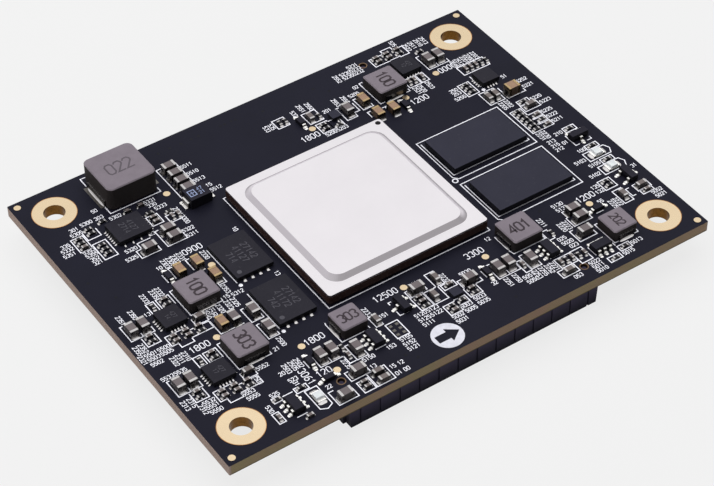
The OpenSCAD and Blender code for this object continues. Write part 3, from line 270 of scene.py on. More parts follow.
# Mark of the input diode, from its middle: a box with a cross in it, and two numbers with their places
DIODE_BOX, DIODE_LINE = (-1.3, -0.6, -0.3, 0.6), 0.14
DIODE_CROSS = (((-0.8, -0.4), (-0.8, 0.4)), ((-1.1, 0.0), (-0.5, 0.0)))
DIODE_NUMBERS = (("47", 0.2, 0.1), ("21", 0.2, -0.75))
DIODE_DIGIT, DIODE_STROKE = 0.6, 0.09

# Thickness of thin layers: painted shade in the lid hole, vias and plating borders, hole rims and chip
# marks, inductor numbers, bare metal
HOLE_FILM, BORDER_FILM, MARK_FILM, NUMBER_FILM, METAL_FILM = 0.003, 0.004, 0.006, 0.008, 0.03

# Radius and height of the die in an indicator light
LIGHT_DIE_RADIUS, LIGHT_DIE_HEIGHT = 0.28, 0.12

# Painted shade on the connector plastic, darker towards the floor: it pales from this height up to this far
# below the board
PLASTIC_LOW, PLASTIC_BELOW_BOARD = 0.2, 1.2

# Pads with no part on them: centre, length and width
BARE_PADS = tuple((x, y, 0.46, 0.42) for y in (-21.3, -22.2, -23.1) for x in (-8.8, -7.8))

# The sign that shows which way the module slides in: a disc with an arrow towards +X
SIGN_PLACE, SIGN_RADIUS = (-3.45, -27.05), 2.33
SIGN_SHAFT = ((-1.75, -0.67), (0.15, -0.67), (0.15, 0.67), (-1.75, 0.67))
SIGN_HEAD = ((0.15, -1.3), (1.95, 0.0), (0.15, 1.3))
# Thickness of the arrow as a share of the disc's
SIGN_ARROW_SHARE = 0.4

# Numbers on the inductors: node, number, digit height, turn in degrees
INDUCTOR_NUMBERS = (
    ("core_inductor", "022", 2.2, 0), ("rail_inductor_1", "100", 1.75, -90),
    ("rail_inductor_2", "303", 1.75, -90), ("rail_inductor_3", "100", 1.75, -90),
    ("rail_inductor_4", "401", 1.75, 0), ("small_inductor_1", "303", 1.5, 0),
    ("small_inductor_2", "202", 1.3, -90),
)
# Line width of a number as a share of its height: on chips, on inductors, pressed into the tall inductor
CHIP_STROKE, INDUCTOR_STROKE, PRESSED_STROKE = 0.13, 0.17, 0.12

# Parts whose metal ends get solder: bodies, ends, reach, share of the ends' height, flare
END_SOLDER = (
    ("bulk_capacitors", "bulk_capacitor_ends", 0.34, 0.62, 0.1),
    ("output_capacitors", "output_capacitor_ends", 0.34, 0.62, 0.1),
    ("mid_capacitors", "mid_capacitor_ends", 0.3, 0.62, 0.08),
    ("small_capacitors", "small_capacitor_ends", 0.22, 0.6, 0.06),
    ("small_resistors", "small_resistor_ends", 0.24, 0.7, 0.06),
    ("led_bases", "led_ends", 0.4, 0.8, 0.05),
)
UNDER_SOLDER = (("decoupling_capacitors", "decoupling_capacitor_ends", 0.22, 0.6, 0.06),)
# Clips with solder at their foot: inductors, clips, reach and height
CLIP_SOLDER = (
    (("core_inductor",), "core_inductor_clips", 0.3, 0.35),
    (("rail_inductor_1", "rail_inductor_2", "rail_inductor_3", "rail_inductor_4"),
     "rail_inductor_clips", 0.15, 0.25),
    (("small_inductor_1", "small_inductor_2"), "small_inductor_clips", 0.25, 0.3),
)
# Pads at a chip's edge with solder in front: chips, pads, reach, height and flare
PAD_SOLDER = (
    (("power_stage_chip", "converter_chip_1", "converter_chip_2", "converter_chip_3", "controller_chip",
      "monitor_chips"), "leadless_chip_pads", 0.3, 0.14, 0.02),
    (("flash_chip_1", "flash_chip_2"), "flash_pads", 0.28, 0.22, 0.05),
)
# Share of a chip's half length past which a pad counts as at its edge
PAD_AT_EDGE = 0.6
# Bodies and leads with solder on the leads' feet; the first two have a painted highlight on their bends
LEAD_SOLDER = (
    ("regulator_bodies", "regulator_leads"), ("transistor_bodies", "transistor_leads"),
    ("diode_bodies", "diode_leads"), ("input_diode_body", "input_diode_leads"),
)
BENT_LEADS = LEAD_SOLDER[:2]
# Length of the painted highlight on a lead's bend; reach of the tall inductor's pads past its clips and
# their margin
LEAD_BEND, CORE_PAD_REACH, CORE_PAD_MARGIN = 0.28, 0.62, 0.1

# Moulded bodies with leads
LEADED_BODIES = ("regulator_bodies", "transistor_bodies", "diode_bodies", "input_diode_body")

# Lamps: place in metres and side of the square; half the floor's side in metres
KEY_PLACE, KEY_SIDE = (0.06, 0.22, 0.62), 1.0
FILL_PLACE, FILL_SIDE = (-0.6, 0.12, 0.25), 0.4
FLOOR_HALF = 3.0

# Upward share of the normal between which a face passes from sideways to level
SIDEWAYS, LEVEL = 0.35, 0.75
DUST_TONE = (0.45, 0.44, 0.43)


def linear(red, green, blue):
    """Scene-linear colour of an 8-bit display colour."""
    shares = (value / 255 for value in (red, green, blue))
    return tuple(s / 12.92 if s <= 0.04045 else ((s + 0.055) / 1.055) ** 2.4 for s in shares)


def colour(name, description, red, green, blue):
    """Colour property whose default is an 8-bit display colour."""
    return bpy.props.FloatVectorProperty(
        name=name, description=description, subtype="COLOR", size=3, min=0.0, max=1.0,
        default=linear(red, green, blue))


def length(name, description, millimetres):
    """Length property whose default is given in millimetres."""
    return bpy.props.FloatProperty(
        name=name, description=description, unit="LENGTH", min=0.0, default=millimetres * MM, precision=6)


class ModuleColours(bpy.types.PropertyGroup):
    """Colours of the module's finishes; some of them are painted light and shade, as marked below."""

    mask: colour("Solder mask", "Dark lacquer on the board's faces", 26, 26, 36)
    edge: colour("Board edge", "Cut glass-fibre laminate", 126, 116, 87)
    edge_warm: colour("Warm board edge", "Redder stretches of the cut edge", 132, 108, 94)
    # Painted light: the short ends take a lighter, pinker copy of the cut edge, for the light that falls on
    # the left end
    edge_end_lit: colour("Board end", "Cut laminate at the board's short ends", 134, 118, 110)
    # Painted shade: dark colour of the hole walls, where shade falls
    hole: colour("Hole wall", "Walls of the peg holes", 44, 32, 22)
    ink: colour("Print", "White printed outlines and numbers", 244, 244, 252)
    sign: colour("Sign", "White disc of the direction sign", 212, 212, 222)
    rim: colour("Hole rim", "Bare laminate round the peg holes", 118, 96, 76)
    gold: colour("Gold", "Gold plating", 252, 228, 190)
    gold_border: colour("Gold border", "Thin border of the plated rings", 196, 146, 98)
    gold_shade: colour("Gold in shade", "Gold plating inside the holes", 122, 84, 38)
    lid: colour("Lid", "Nickel-plated processor lid", 255, 251, 255)
    # Painted reflection and shade on the lid's slopes: a greyer slope, a darker front, brighter far slopes
    # and a darker foot to those
    lid_bevel_reflection: colour("Lid bevel", "Sloping faces of the lid", 226, 220, 227)
    lid_front_shade: colour("Lid front", "Sloping face of the lid towards the front", 166, 161, 165)
    lid_far_reflection: colour("Lid far slopes", "Sloping faces of the lid towards the right and back", 254, 248, 254)
    lid_foot_shade: colour("Lid foot", "Foot of the far slopes", 140, 136, 140)
    substrate: colour("Substrate", "Processor package laminate", 46, 30, 27)
    memory: colour("Memory mould", "Moulding compound of the memory chips", 45, 45, 56)
    chip: colour("Chip mould", "Moulding compound of the other chips", 37, 36, 43)
    chip_ink: colour("Chip print", "Faint marks on the flash and power chips", 74, 73, 80)
    leaded: colour("Leaded mould", "Moulding compound of the leaded parts", 34, 33, 42)
    inductor: colour("Inductor top", "Pressed powder, upper face", 119, 111, 119)
    # Painted shade: the darker side colour of the pressed powder
    inductor_side_shade: colour("Inductor side", "Pressed powder, sides", 40, 36, 36)
    inductor_ink: colour("Inductor number", "Dark number on an inductor", 62, 55, 60)
    grey_ceramic: colour("Grey ceramic", "Bulk capacitors", 102, 94, 96)
    gold_ceramic: colour("Gold ceramic", "Output capacitors", 145, 117, 96)
    brown_ceramic: colour("Brown ceramic", "Middle-sized and small capacitors", 103, 95, 94)
    resistor: colour("Resistor glaze", "Black glaze of the resistors", 18, 17, 22)
    tin: colour("Tin", "Tinned metal, upper faces", 222, 219, 219)
    tin_shade: colour("Tin in shade", "Tinned metal, side faces", 101, 97, 95)
    warm_tin: colour("Warm tin", "Ends of the output capacitors", 208, 180, 136)
    # Painted highlight: the leads' bright tin is whitened to stand in for their glints
    lead: colour("Lead", "Bright leads and their solder", 255, 253, 250)
    lead_shade: colour("Lead in shade", "Side faces of the leads", 100, 97, 94)
    # Painted shade: the housings pass from this colour near the board to the low colour near the floor
    plastic: colour("Connector plastic", "Black moulded housings, near the board", 55, 51, 68)
    plastic_low_shade: colour("Low plastic", "Black moulded housings, near their mating end", 22, 22, 30)
    silicon: colour("Silicon", "Processor die", 90, 92, 100)
    # Painted shade: a dark disc at the bottom of the lid's corner hole
    lid_hole_shade: colour("Lid hole", "Hole in the corner of the lid", 26, 24, 26)
    diode_ink: colour("Diode print", "Mark of the input diode", 150, 162, 196)
    light_base: colour("Light base", "Bases of the indicator lights", 238, 238, 228)
    light_die: colour("Light die", "Dies of the indicator lights", 40, 150, 110)
    lens: colour("Light lens", "Clear resin of the indicator lights", 248, 250, 252)
    lens_cloud: colour("Lens cloud", "Cloudy places in the resin", 226, 232, 236)
    bare_pad: colour("Bare pad", "Dull tin of the pads with no part on them", 132, 128, 124)


class ModulePrint(bpy.types.PropertyGroup):
    """Sizes of the printed marks."""

    thickness: length("Thickness", "Height of the print above the board", 0.015)
    line_width: length("Line width", "Width of the printed outlines", 0.15)
    digit_height: length("Digit height", "Height of the reference numbers", 0.64)
    digit_stroke: length("Digit stroke", "Line width of the reference numbers", 0.1)
    label_height: length("Label height", "Height of the test pad numbers", 1.05)
    label_stroke: length("Label stroke", "Line width of the test pad numbers", 0.125)
    via_diameter: length("Via diameter", "Diameter of the covered vias", 0.45)


class ModuleSolder(bpy.types.PropertyGroup):
    """Sizes of the solder on leads and pads."""

    lead_reach: length("Lead reach", "Reach of the solder past a lead's toe", 0.28)
    lead_back: length("Lead back", "Length of the solder behind a lead's toe", 0.3)
    lead_height: length("Lead height", "Height of the solder on a lead's foot", 0.24)
    lead_flare: length("Lead flare", "Reach of the solder past a lead's sides", 0.05)


class ModuleStage(bpy.types.PropertyGroup):
    """Floor, light and background of the studio."""

    floor: colour("Floor", "Pale floor and background", 239, 239, 239)
    floor_glow: bpy.props.FloatProperty(
        name="Floor glow", description="Share of the floor that shows as plain background", default=0.9,
        min=0.0, max=1.0, subtype="FACTOR")
    overhead: bpy.props.FloatProperty(
        name="Overhead", description="How much brighter reflections are from overhead than from low down",
        default=0.14, min=0.0, max=1.0, subtype="FACTOR")
    ambient: bpy.props.FloatProperty(
        name="Ambient", description="Strength of the light from all round", default=0.38, min=0.0)
    key_power: bpy.props.FloatProperty(
        name="Key power", description="Power of the large lamp above", default=7.0, min=0.0, unit="POWER")
    fill_power: bpy.props.FloatProperty(
        name="Fill power", description="Power of the lamp at the left", default=1.2, min=0.0, unit="POWER")


# Shader nodes, and the node groups that several finishes share


def feed(tree, socket, value):
    """Links a socket to another one, or gives it a plain value."""
    if isinstance(value, bpy.types.NodeSocket):
        tree.links.new(value, socket)
    else:
        socket.default_value = value


def add_node(tree, kind, inputs=None, **settings):
    """New node with its settings and the values or links of its named inputs."""
    node = tree.nodes.new(kind)
    for name, value in settings.items():
        setattr(node, name, value)
    for name, value in (inputs or {}).items():
        feed(tree, node.inputs[name], value)
    return node


def new_group(name, inputs, outputs):
    """Empty shader node group with float sockets; gives the tree and its two ends."""
    tree = bpy.data.node_groups.new(name, "ShaderNodeTree")
    kind = "NodeSocketFloat"
    for socket, value in inputs.items():
        tree.interface.new_socket(socket, in_out="INPUT", socket_type=kind).default_value = value
    for socket in outputs:
        tree.interface.new_socket(socket, in_out="OUTPUT", socket_type=kind)
    return tree, tree.nodes.new("NodeGroupInput"), tree.nodes.new("NodeGroupOutput")


def math_node(tree, operation, first, second=0.0):
    """Output of a math node on two values or links."""
    node = add_node(tree, "ShaderNodeMath", operation=operation)
    for socket, value in zip(node.inputs, (first, second)):
        feed(tree, socket, value)
    return node.outputs[0]


def ramp(tree, value, low, high, start=0.0, end=1.0):
    """Passes from start to end while a value goes from low to high, and stays there."""
    return add_node(tree, "ShaderNodeMapRange", {
        "Value": value, "From Min": low, "From Max": high, "To Min": start, "To Max": end}).outputs[0]


def make_grain_group():
    """Coarse mottling and fine grain, in the object's own space."""
    scales = {"Mottle Scale": 300.0, "Grain Scale": 4000.0}
    tree, start, end = new_group("Grain", scales, ("Mottle", "Grain"))
    place = tree.nodes.new("ShaderNodeTexCoord").outputs["Object"]
    for name, detail in (("Mottle", 3.0), ("Grain", 2.0)):
        noise = add_node(tree, "ShaderNodeTexNoise", {
            "Vector": place, "Scale": start.outputs[name + " Scale"], "Detail": detail, "Roughness": 0.6})
        tree.links.new(ramp(tree, noise.outputs[0], 0.3, 0.7), end.inputs[name])
    return tree


def make_facing_group():
    """Masks of the faces that look up and of those that look sideways."""
    tree, _, end = new_group("Facing", {}, ("Up", "Side"))
    normal = tree.nodes.new("ShaderNodeNewGeometry").outputs["Normal"]
    height = add_node(tree, "ShaderNodeSeparateXYZ", {"Vector": normal}).outputs["Z"]
    side = ramp(tree, math_node(tree, "ABSOLUTE", height), SIDEWAYS, LEVEL, 1.0, 0.0)
    tree.links.new(ramp(tree, height, SIDEWAYS, LEVEL), end.inputs["Up"])
    tree.links.new(side, end.inputs["Side"])
    return tree


def make_dust_group():
    """Sparse fine specks that lie on faces that look up."""
    tree, start, end = new_group("Dust", {"Scale": 1500.0, "Amount": 0.2}, ("Mask",))
    place = tree.nodes.new("ShaderNodeTexCoord").outputs["Object"]
    noise = add_node(tree, "ShaderNodeTexNoise", {
        "Vector": place, "Scale": start.outputs["Scale"], "Detail": 4.0, "Roughness": 0.75})
    specks = ramp(tree, noise.outputs[0], 0.6, 0.78)
    lying = math_node(tree, "MULTIPLY", specks, place_group(tree, "Facing").outputs["Up"])
    tree.links.new(math_node(tree, "MULTIPLY", lying, start.outputs["Amount"]), end.inputs["Mask"])
    return tree


def place_group(tree, name, **inputs):
    """A shared node group placed in a tree, with its own values."""
    node = add_node(tree, "ShaderNodeGroup", node_tree=bpy.data.node_groups[name])
    for socket, value in inputs.items():
        node.inputs[socket.replace("_", " ")].default_value = value
    return node


def mix_colour(tree, share, first, second):
    """Colour between two colours or links."""
    node = add_node(tree, "ShaderNodeMix", data_type="RGBA")
    slots = [s for s in node.inputs if s.enabled]
    for socket, value in zip(slots, (share, first, second)):
        feed(tree, socket, value if isinstance(value, bpy.types.NodeSocket) else (*value, 1.0))
    return next(s for s in node.outputs if s.enabled)


def shade(tone, factor):
    """A colour made darker or lighter by a factor."""
    return tuple(min(1.0, channel * factor) for channel in tone)


def new_material(name):
    """Empty material with a Principled shader; gives the material, its tree and the shader."""
    material = bpy.data.materials.new(name)
    material.use_nodes = True
    tree = material.node_tree
    shader = next(n for n in tree.nodes if n.type == "BSDF_PRINCIPLED")
    return material, tree, shader


def height_of(tree):
    """Height of the shaded place above the floor, in metres."""
    place = tree.nodes.new("ShaderNodeTexCoord").outputs["Object"]
    return add_node(tree, "ShaderNodeSeparateXYZ", {"Vector": place}).outputs["Z"]


def bump(tree, shader, height, depth):
    """Feeds a height in metres of depth to the shader's normal."""
    node = add_node(tree, "ShaderNodeBump", {"Height": height, "Distance": depth, "Strength": 1.0})
    tree.links.new(node.outputs["Normal"], shader.inputs["Normal"])


def make_finish(name, tone, dark=0.8, rough=(0.4, 0.5), scales=(300.0, 4000.0), depth=0.002 * MM,
                metal=0.0, shine=0.15, dust=0.0, side=None):
    """Finish with mottled colour, uneven gloss and fine grain. side is a painted shade colour for the side
    faces, darker because of how light falls on them.
    """
    material, tree, shader = new_material(name)
    grain = place_group(tree, "Grain", Mottle_Scale=scales[0], Grain_Scale=scales[1])
    base = mix_colour(tree, grain.outputs["Mottle"], shade(tone, dark), tone)
    # Painted shade: side faces pass to the darker side colour
    if side:
        facing = place_group(tree, "Facing")
        shaded_flank = mix_colour(tree, grain.outputs["Grain"], shade(side, 0.6), side)
        base = mix_colour(tree, facing.outputs["Side"], base, shaded_flank)
    if dust:
        specks = place_group(tree, "Dust", Amount=dust)
        base = mix_colour(tree, specks.outputs["Mask"], base, DUST_TONE)
    tree.links.new(base, shader.inputs["Base Color"])
    tree.links.new(ramp(tree, grain.outputs["Grain"], 0.0, 1.0, *rough), shader.inputs["Roughness"])
    shader.inputs["Metallic"].default_value = metal
    shader.inputs["Specular IOR Level"].default_value = shine
    bump(tree, shader, grain.outputs["Grain"], depth)
    return material


def make_board_finish(colours):
    """Solder mask over a faint copper pattern, layered laminate on the cut edges, painted light on the short
    ends and painted shade on the hole walls.
    """
    material, tree, shader = new_material("Board")
    grain = place_group(tree, "Grain", Mottle_Scale=120.0, Grain_Scale=5000.0)
    place = tree.nodes.new("ShaderNodeTexCoord").outputs["Object"]
    copper = add_node(tree, "ShaderNodeTexVoronoi", {"Vector": place, "Scale": 260.0}, distance="MANHATTAN")
    pattern = ramp(tree, copper.outputs["Distance"], 0.2, 0.5)
    lacquer = mix_colour(tree, grain.outputs["Mottle"], shade(colours.mask, 0.9), shade(colours.mask, 1.06))
    lacquer = mix_colour(tree, math_node(tree, "MULTIPLY", pattern, 0.12), lacquer,
                         shade(colours.mask, 1.35))
    layers = add_node(tree, "ShaderNodeTexWave", {
        "Vector": place, "Scale": 1100.0, "Distortion": 3.0, "Detail": 3.0, "Detail Scale": 2.0},
        bands_direction="Z")
    dark, light = (mix_colour(tree, grain.outputs["Mottle"], shade(colours.edge, factor),
                              shade(colours.edge_warm, factor)) for factor in (0.84, 1.06))
    cut = mix_colour(tree, layers.outputs["Fac"], dark, light)
    axes = add_node(tree, "ShaderNodeSeparateXYZ", {"Vector": place})
    low = ramp(tree, axes.outputs["Z"], BOARD_LOW.z + 0.1 * MM, BOARD_LOW.z + 0.22 * MM, 1.0, 0.0)
    cut = mix_colour(tree, low, cut, shade(colours.edge, 0.3))
    rim = 0.3 * MM
    at_end, at_side = (
        math_node(tree, "GREATER_THAN", math_node(tree, "ABSOLUTE", axes.outputs[axis]), limit - rim)
        for axis, limit in (("X", BOARD_HIGH.x), ("Y", BOARD_HIGH.y)))
    # Painted light: a lighter copy of the cut edge on the board's short ends
    lit_end_cut = mix_colour(tree, layers.outputs["Fac"], *(shade(colours.edge_end_lit, f) for f in (0.92, 1.08)))
    cut = mix_colour(tree, at_end, cut, lit_end_cut)
    # Painted shade on the walls of the holes; only the outer edges keep the laminate colour
    cut = mix_colour(tree, math_node(tree, "MAXIMUM", at_end, at_side), colours.hole, cut)
    facing = place_group(tree, "Facing")
    base = mix_colour(tree, facing.outputs["Side"], lacquer, cut)
    tree.links.new(base, shader.inputs["Base Color"])
    gloss = ramp(tree, grain.outputs["Mottle"], 0.0, 1.0, 0.42, 0.52)
    rough = math_node(tree, "MAXIMUM", gloss, math_node(tree, "MULTIPLY", facing.outputs["Side"], 0.8))
    tree.links.new(rough, shader.inputs["Roughness"])
    shader.inputs["Specular IOR Level"].default_value = 0.06
    bump(tree, shader, grain.outputs["Grain"], 0.002 * MM)
    return material


def make_lid_finish(colours):
    """Fine matte nickel, with painted reflection and shade on the slopes: greyer, darker towards the front,
    brighter towards the right and back, and darker at the foot of those.
    """
    material, tree, shader = new_material("Lid")
    grain = place_group(tree, "Grain", Mottle_Scale=150.0, Grain_Scale=6000.0)
    normal = tree.nodes.new("ShaderNodeNewGeometry").outputs["Normal"]
    axes = add_node(tree, "ShaderNodeSeparateXYZ", {"Vector": normal})
    flat = mix_colour(tree, grain.outputs["Mottle"], shade(colours.lid, 0.97), colours.lid)
    # Painted reflection and shade: the slopes' colour follows the way they face and, on the far slopes,
    # their height
    slope = mix_colour(tree, ramp(tree, axes.outputs["Y"], -0.45, 0.2), colours.lid_front_shade, colours.lid_bevel_reflection)
    right, behind = (ramp(tree, axes.outputs[axis], 0.2, 0.45) for axis in "XY")
    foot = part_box("processor_substrate")[1].z + LID_RIM * MM
    rise = ramp(tree, height_of(tree), foot, (foot + 2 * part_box("processor_lid")[1].z) / 3)
    far = mix_colour(tree, rise, colours.lid_foot_shade, colours.lid_far_reflection)
    slope = mix_colour(tree, math_node(tree, "MAXIMUM", right, behind), slope, far)
    base = mix_colour(tree, ramp(tree, axes.outputs["Z"], 0.88, 0.99), slope, flat)
    tree.links.new(base, shader.inputs["Base Color"])
    rough = ramp(tree, grain.outputs["Grain"], 0.0, 1.0, 0.32, 0.42)
    tree.links.new(rough, shader.inputs["Roughness"])
    shader.inputs["Metallic"].default_value = 1.0
    bump(tree, shader, grain.outputs["Grain"], 0.001 * MM)
    return material


def deepen(material, low, high, tone):
    """Lets a finish pass to another colour from one height down to a lower one."""
    tree = material.node_tree
    shader = next(n for n in tree.nodes if n.type == "BSDF_PRINCIPLED")
    base = shader.inputs["Base Color"].links[0].from_socket
    share = ramp(tree, height_of(tree), low, high, 1.0, 0.0)
    tree.links.new(mix_colour(tree, share, base, tone), shader.inputs["Base Color"])


def make_lens_finish(colours):
    """Clear resin of the indicator lights, with faint cloudiness."""
    material, tree, shader = new_material("Light lens")
    grain = place_group(tree, "Grain", Mottle_Scale=900.0, Grain_Scale=5000.0)
    base = mix_colour(tree, grain.outputs["Mottle"], colours.lens_cloud, colours.lens)
    tree.links.new(base, shader.inputs["Base Color"])
    rough = ramp(tree, grain.outputs["Grain"], 0.0, 1.0, 0.08, 0.2)
    tree.links.new(rough, shader.inputs["Roughness"])
    shader.inputs["Transmission Weight"].default_value = 0.3
    shader.inputs["IOR"].default_value = 1.5
    return material


# Meshes


class Raised:
    """Flat raised shapes on one level, gathered into one piece. Places are in millimetres."""

    def __init__(self, low, thickness):
        self.low = low
        self.high = low + thickness
        self.points = []
        self.faces = []

    def prism(self, outline):
        """Closed prism over a convex outline that runs anticlockwise."""
        first, count = len(self.points), len(outline)
        for z in (self.low, self.high):
            self.points.extend((x * MM, y * MM, z) for x, y in outline)
        self.faces.append(tuple(range(first + count, first + 2 * count)))
        self.faces.append(tuple(reversed(range(first, first + count))))
        for i in range(count):
            j = (i + 1) % count
            self.faces.append((first + i, first + j, first + count + j, first + count + i))

    def plate(self, centre, way, half_along, half_across):
        """Rectangle about a place in metres, with its length along a unit vector."""
        middle = Vector((centre.x, centre.y)) / MM
        along = Vector((way.x, way.y)) * half_along
        across = Vector((-way.y, way.x)) * half_across
        self.prism([middle - along - across, middle + along - across, middle + along + across,
                    middle - along + across])

    def disc(self, x, y, radius, sides=32):
        """Round plate."""
        turns = (2 * math.pi * i / sides for i in range(sides))
        self.prism([(x + radius * math.cos(t), y + radius * math.sin(t)) for t in turns])

    def ring(self, x, y, inner, outer, sides=40):
        """Flat ring."""
        middle = (inner + outer) / 2
        turns = [2 * math.pi * i / sides for i in range(sides)]
        circle = [(x + middle * math.cos(t), y + middle * math.sin(t)) for t in turns]
        self.line(circle, outer - inner, closed=True)

    def line(self, corners, width, closed=False):
        """Ribbon of one width along a line, with mitred corners."""
        rails = mitred_rails([Vector(c) for c in corners], width / 2, closed)
        first, count = len(self.points), len(rails)
        for left, right in rails:
            for z in (self.low, self.high):
                self.points.append((left.x * MM, left.y * MM, z))
                self.points.append((right.x * MM, right.y * MM, z))
        for i in range(count if closed else count - 1):
            a, b = first + 4 * i, first + 4 * ((i + 1) % count)
            self.faces.extend((
                (a + 3, b + 3, b + 2, a + 2), (a, b, b + 1, a + 1),
                (a + 2, b + 2, b, a), (a + 1, b + 1, b + 3, a + 3)))
        if not closed:
            last = first + 4 * (count - 1)
            self.faces.append((first, first + 1, first + 3, first + 2))
            self.faces.append((last + 1, last, last + 2, last + 3))

    def box(self, x0, y0, x1, y1, width):
        """Ribbon round a rectangle."""
        self.line(((x0, y0), (x1, y0), (x1, y1), (x0, y1)), width, closed=True)

    def number(self, text, x, y, height, stroke, turn=0, centred=False, step=DIGIT_STEP):
        """Stroke digits that start at a place, or are centred on it, turned by degrees."""
        square = height * DIGIT_SQUARE
        rise = height / DIGIT_GRID_HEIGHT
        along = Vector((math.cos(math.radians(turn)), math.sin(math.radians(turn))))
        up = Vector((-along.y, along.x))
        start = Vector((x, y))
        if centred:
            start -= along * ((len(text) - 1) * step + DIGIT_GRID_WIDTH * DIGIT_SQUARE) * height / 2
            start -= up * height / 2
        for place, digit in enumerate(text):
            corner = start + along * place * step * height
            for line in DIGIT_STROKES[digit]:
                corners = [corner + along * u * square + up * v * rise for u, v in line]
                self.line(corners, stroke)

    def piece(self, name, slot, material):
        """The gathered shapes as one object that rides on the module."""
        return add_piece(name, self.points, self.faces, material)


def square_corners(places):
    """Corners of a line that goes from place to place along X first, then along Y."""
    corners = [places[0]]
    for x, y in places[1:]:
        for corner in ((x, corners[-1][1]), (x, y)):
            if corner != corners[-1]:
                corners.append(corner)
    return corners


def mitred_rails(corners, half, closed):
    """Left and right edge points of a ribbon along a line of corners."""
    rails = []
    for i, corner in enumerate(corners):
        before = corners[i - 1] if i > 0 or closed else None
        after = corners[(i + 1) % len(corners)] if i + 1 < len(corners) or closed else None
        ways = [(corner - before).normalized()] if before else []
        ways += [(after - corner).normalized()] if after else []
        normals = [Vector((-way.y, way.x)) for way in ways]
        middle = sum(normals, Vector((0, 0))).normalized()
        reach = half / max(0.4, middle.dot(normals[0]))
        rails.append((corner + middle * reach, corner - middle * reach))
    return rails


def add_piece(name, points, faces, material, smooth=False):
    """New mesh object that rides on the module and takes one slot's finish."""
    mesh = bpy.data.meshes.new(name)
    mesh.from_pydata(points, [], faces)
    mesh.validate()
    for face in mesh.polygons:
        face.use_smooth = smooth
    mesh.materials.append(material)
    piece = bpy.data.objects.new(name, mesh)
    bpy.context.scene.collection.objects.link(piece)
    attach(piece, BODY)
    return piece


def solid_boxes(node):
    """Lowest and highest corner of each separate solid in a CAD node."""
    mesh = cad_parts[node].data
    places = [tuple(round(c * 1e7) for c in vertex.co) for vertex in mesh.vertices]
    parent = {place: place for place in places}

    def root(place):
        while parent[place] != place:
            parent[place] = parent[parent[place]]
            place = parent[place]
        return place

    for face in mesh.polygons:
        first = root(places[face.vertices[0]])
        for index in face.vertices[1:]:
            parent[root(places[index])] = first
    boxes = {}
    for place, vertex in zip(places, mesh.vertices):
        low, high = boxes.setdefault(root(place), (vertex.co.copy(), vertex.co.copy()))
        for axis in range(3):
            low[axis] = min(low[axis], vertex.co[axis])
            high[axis] = max(high[axis], vertex.co[axis])
    return list(boxes.values())


def outward(box, bodies, along_longest):
    """Centre, outward unit vector, half length and half width of a metal end beside its body."""
    low, high = box
    centre, size = (low + high) / 2, high - low
    body_low, body_high = min(bodies, key=lambda b: ((b[0] + b[1]) / 2 - centre).length)
    away = centre - (body_low + body_high) / 2
    axis = 0 if (size.x > size.y) == along_longest else 1
    way = Vector((0, 0, 0))
    way[axis] = math.copysign(1, away[axis])
    return centre, way, size[axis] / 2, size[1 - axis] / 2


def metal_ends(metal, bodies, along_longest):
    """Each solid of a metal node: its box, and what outward gives for it."""
    for box in solid_boxes(metal):
        yield box, *outward(box, bodies, along_longest)


def pad_side(box, chips):
    """Place on the chip's edge in front of a pad, outward unit vector and half width, if it is near one."""
    centre = (box[0] + box[1]) / 2
    low, high = min(chips, key=lambda chip: ((chip[0] + chip[1]) / 2 - centre).length)
    away, half = centre - (low + high) / 2, (high - low) / 2
    axis = 0 if abs(away.x) / half.x > abs(away.y) / half.y else 1
    way = Vector((0, 0, 0))
    way[axis] = math.copysign(1, away[axis])
    edge = Vector((centre.x, centre.y, box[0].z))
    edge[axis] = max(high[axis], box[1][axis]) if way[axis] > 0 else min(low[axis], box[0][axis])
    across = 1 - axis
    at_edge = abs(away[axis]) > PAD_AT_EDGE * half[axis]
    return (edge, way, (box[1][across] - box[0][across]) / 2) if at_edge else None


class Solder:
    """Mounds of solder gathered into one piece."""

    STATIONS = 5
    CONCAVE = 1.7
    TAPER = 0.35
    # Across a mound: place as a share of its half width, height as a share of the crest
    PROFILE = ((-1, 0), (-0.72, 0.75), (0, 1), (0.72, 0.75), (1, 0))

    def __init__(self):
        self.points = []
        self.faces = []

    def mound(self, face, way, half_width, height, reach, flare, up=1):
        """Mound that leans on a face's foot: it falls away in a hollow curve over its reach."""
        side = Vector((-way.y, way.x, 0))
        first, wide = len(self.points), len(self.PROFILE)
        for i in range(self.STATIONS):
            t = i / (self.STATIONS - 1)
            crest = height * (1 - t) ** self.CONCAVE
            half = (half_width + flare) * (1 - self.TAPER * t * t)
            for across, rise in self.PROFILE:
                point = face + way * reach * t + side * half * across
                point.z += up * crest * rise
                self.points.append(tuple(point))
        for i in range(self.STATIONS - 1):
            for j in range(wide - 1):
                a = first + i * wide + j
                quad = (a, a + wide, a + wide + 1, a + 1)
                self.faces.append(quad if up > 0 else tuple(reversed(quad)))

    def piece(self, name, material):
        """The gathered mounds as one smooth object that rides on the module."""
        return add_piece(name, self.points, self.faces, material, smooth=True)


# Operators


def give(material, *nodes):
    """Puts one finish on CAD nodes."""
    for name in nodes:
        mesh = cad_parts[name].data
        mesh.materials.clear()
        mesh.materials.append(material)


def soften(width, *nodes):
    """Rounds the sharp edges of CAD nodes without changing their meshes."""
    for name in nodes:
        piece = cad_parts[name]
        weld = piece.modifiers.new("Weld", "WELD")
        weld.merge_threshold = 1e-7
        bevel = piece.modifiers.new("Round edges", "BEVEL")
        bevel.width = width
        bevel.segments = 2
        bevel.limit_method = "ANGLE"
        bevel.angle_limit = math.radians(40)


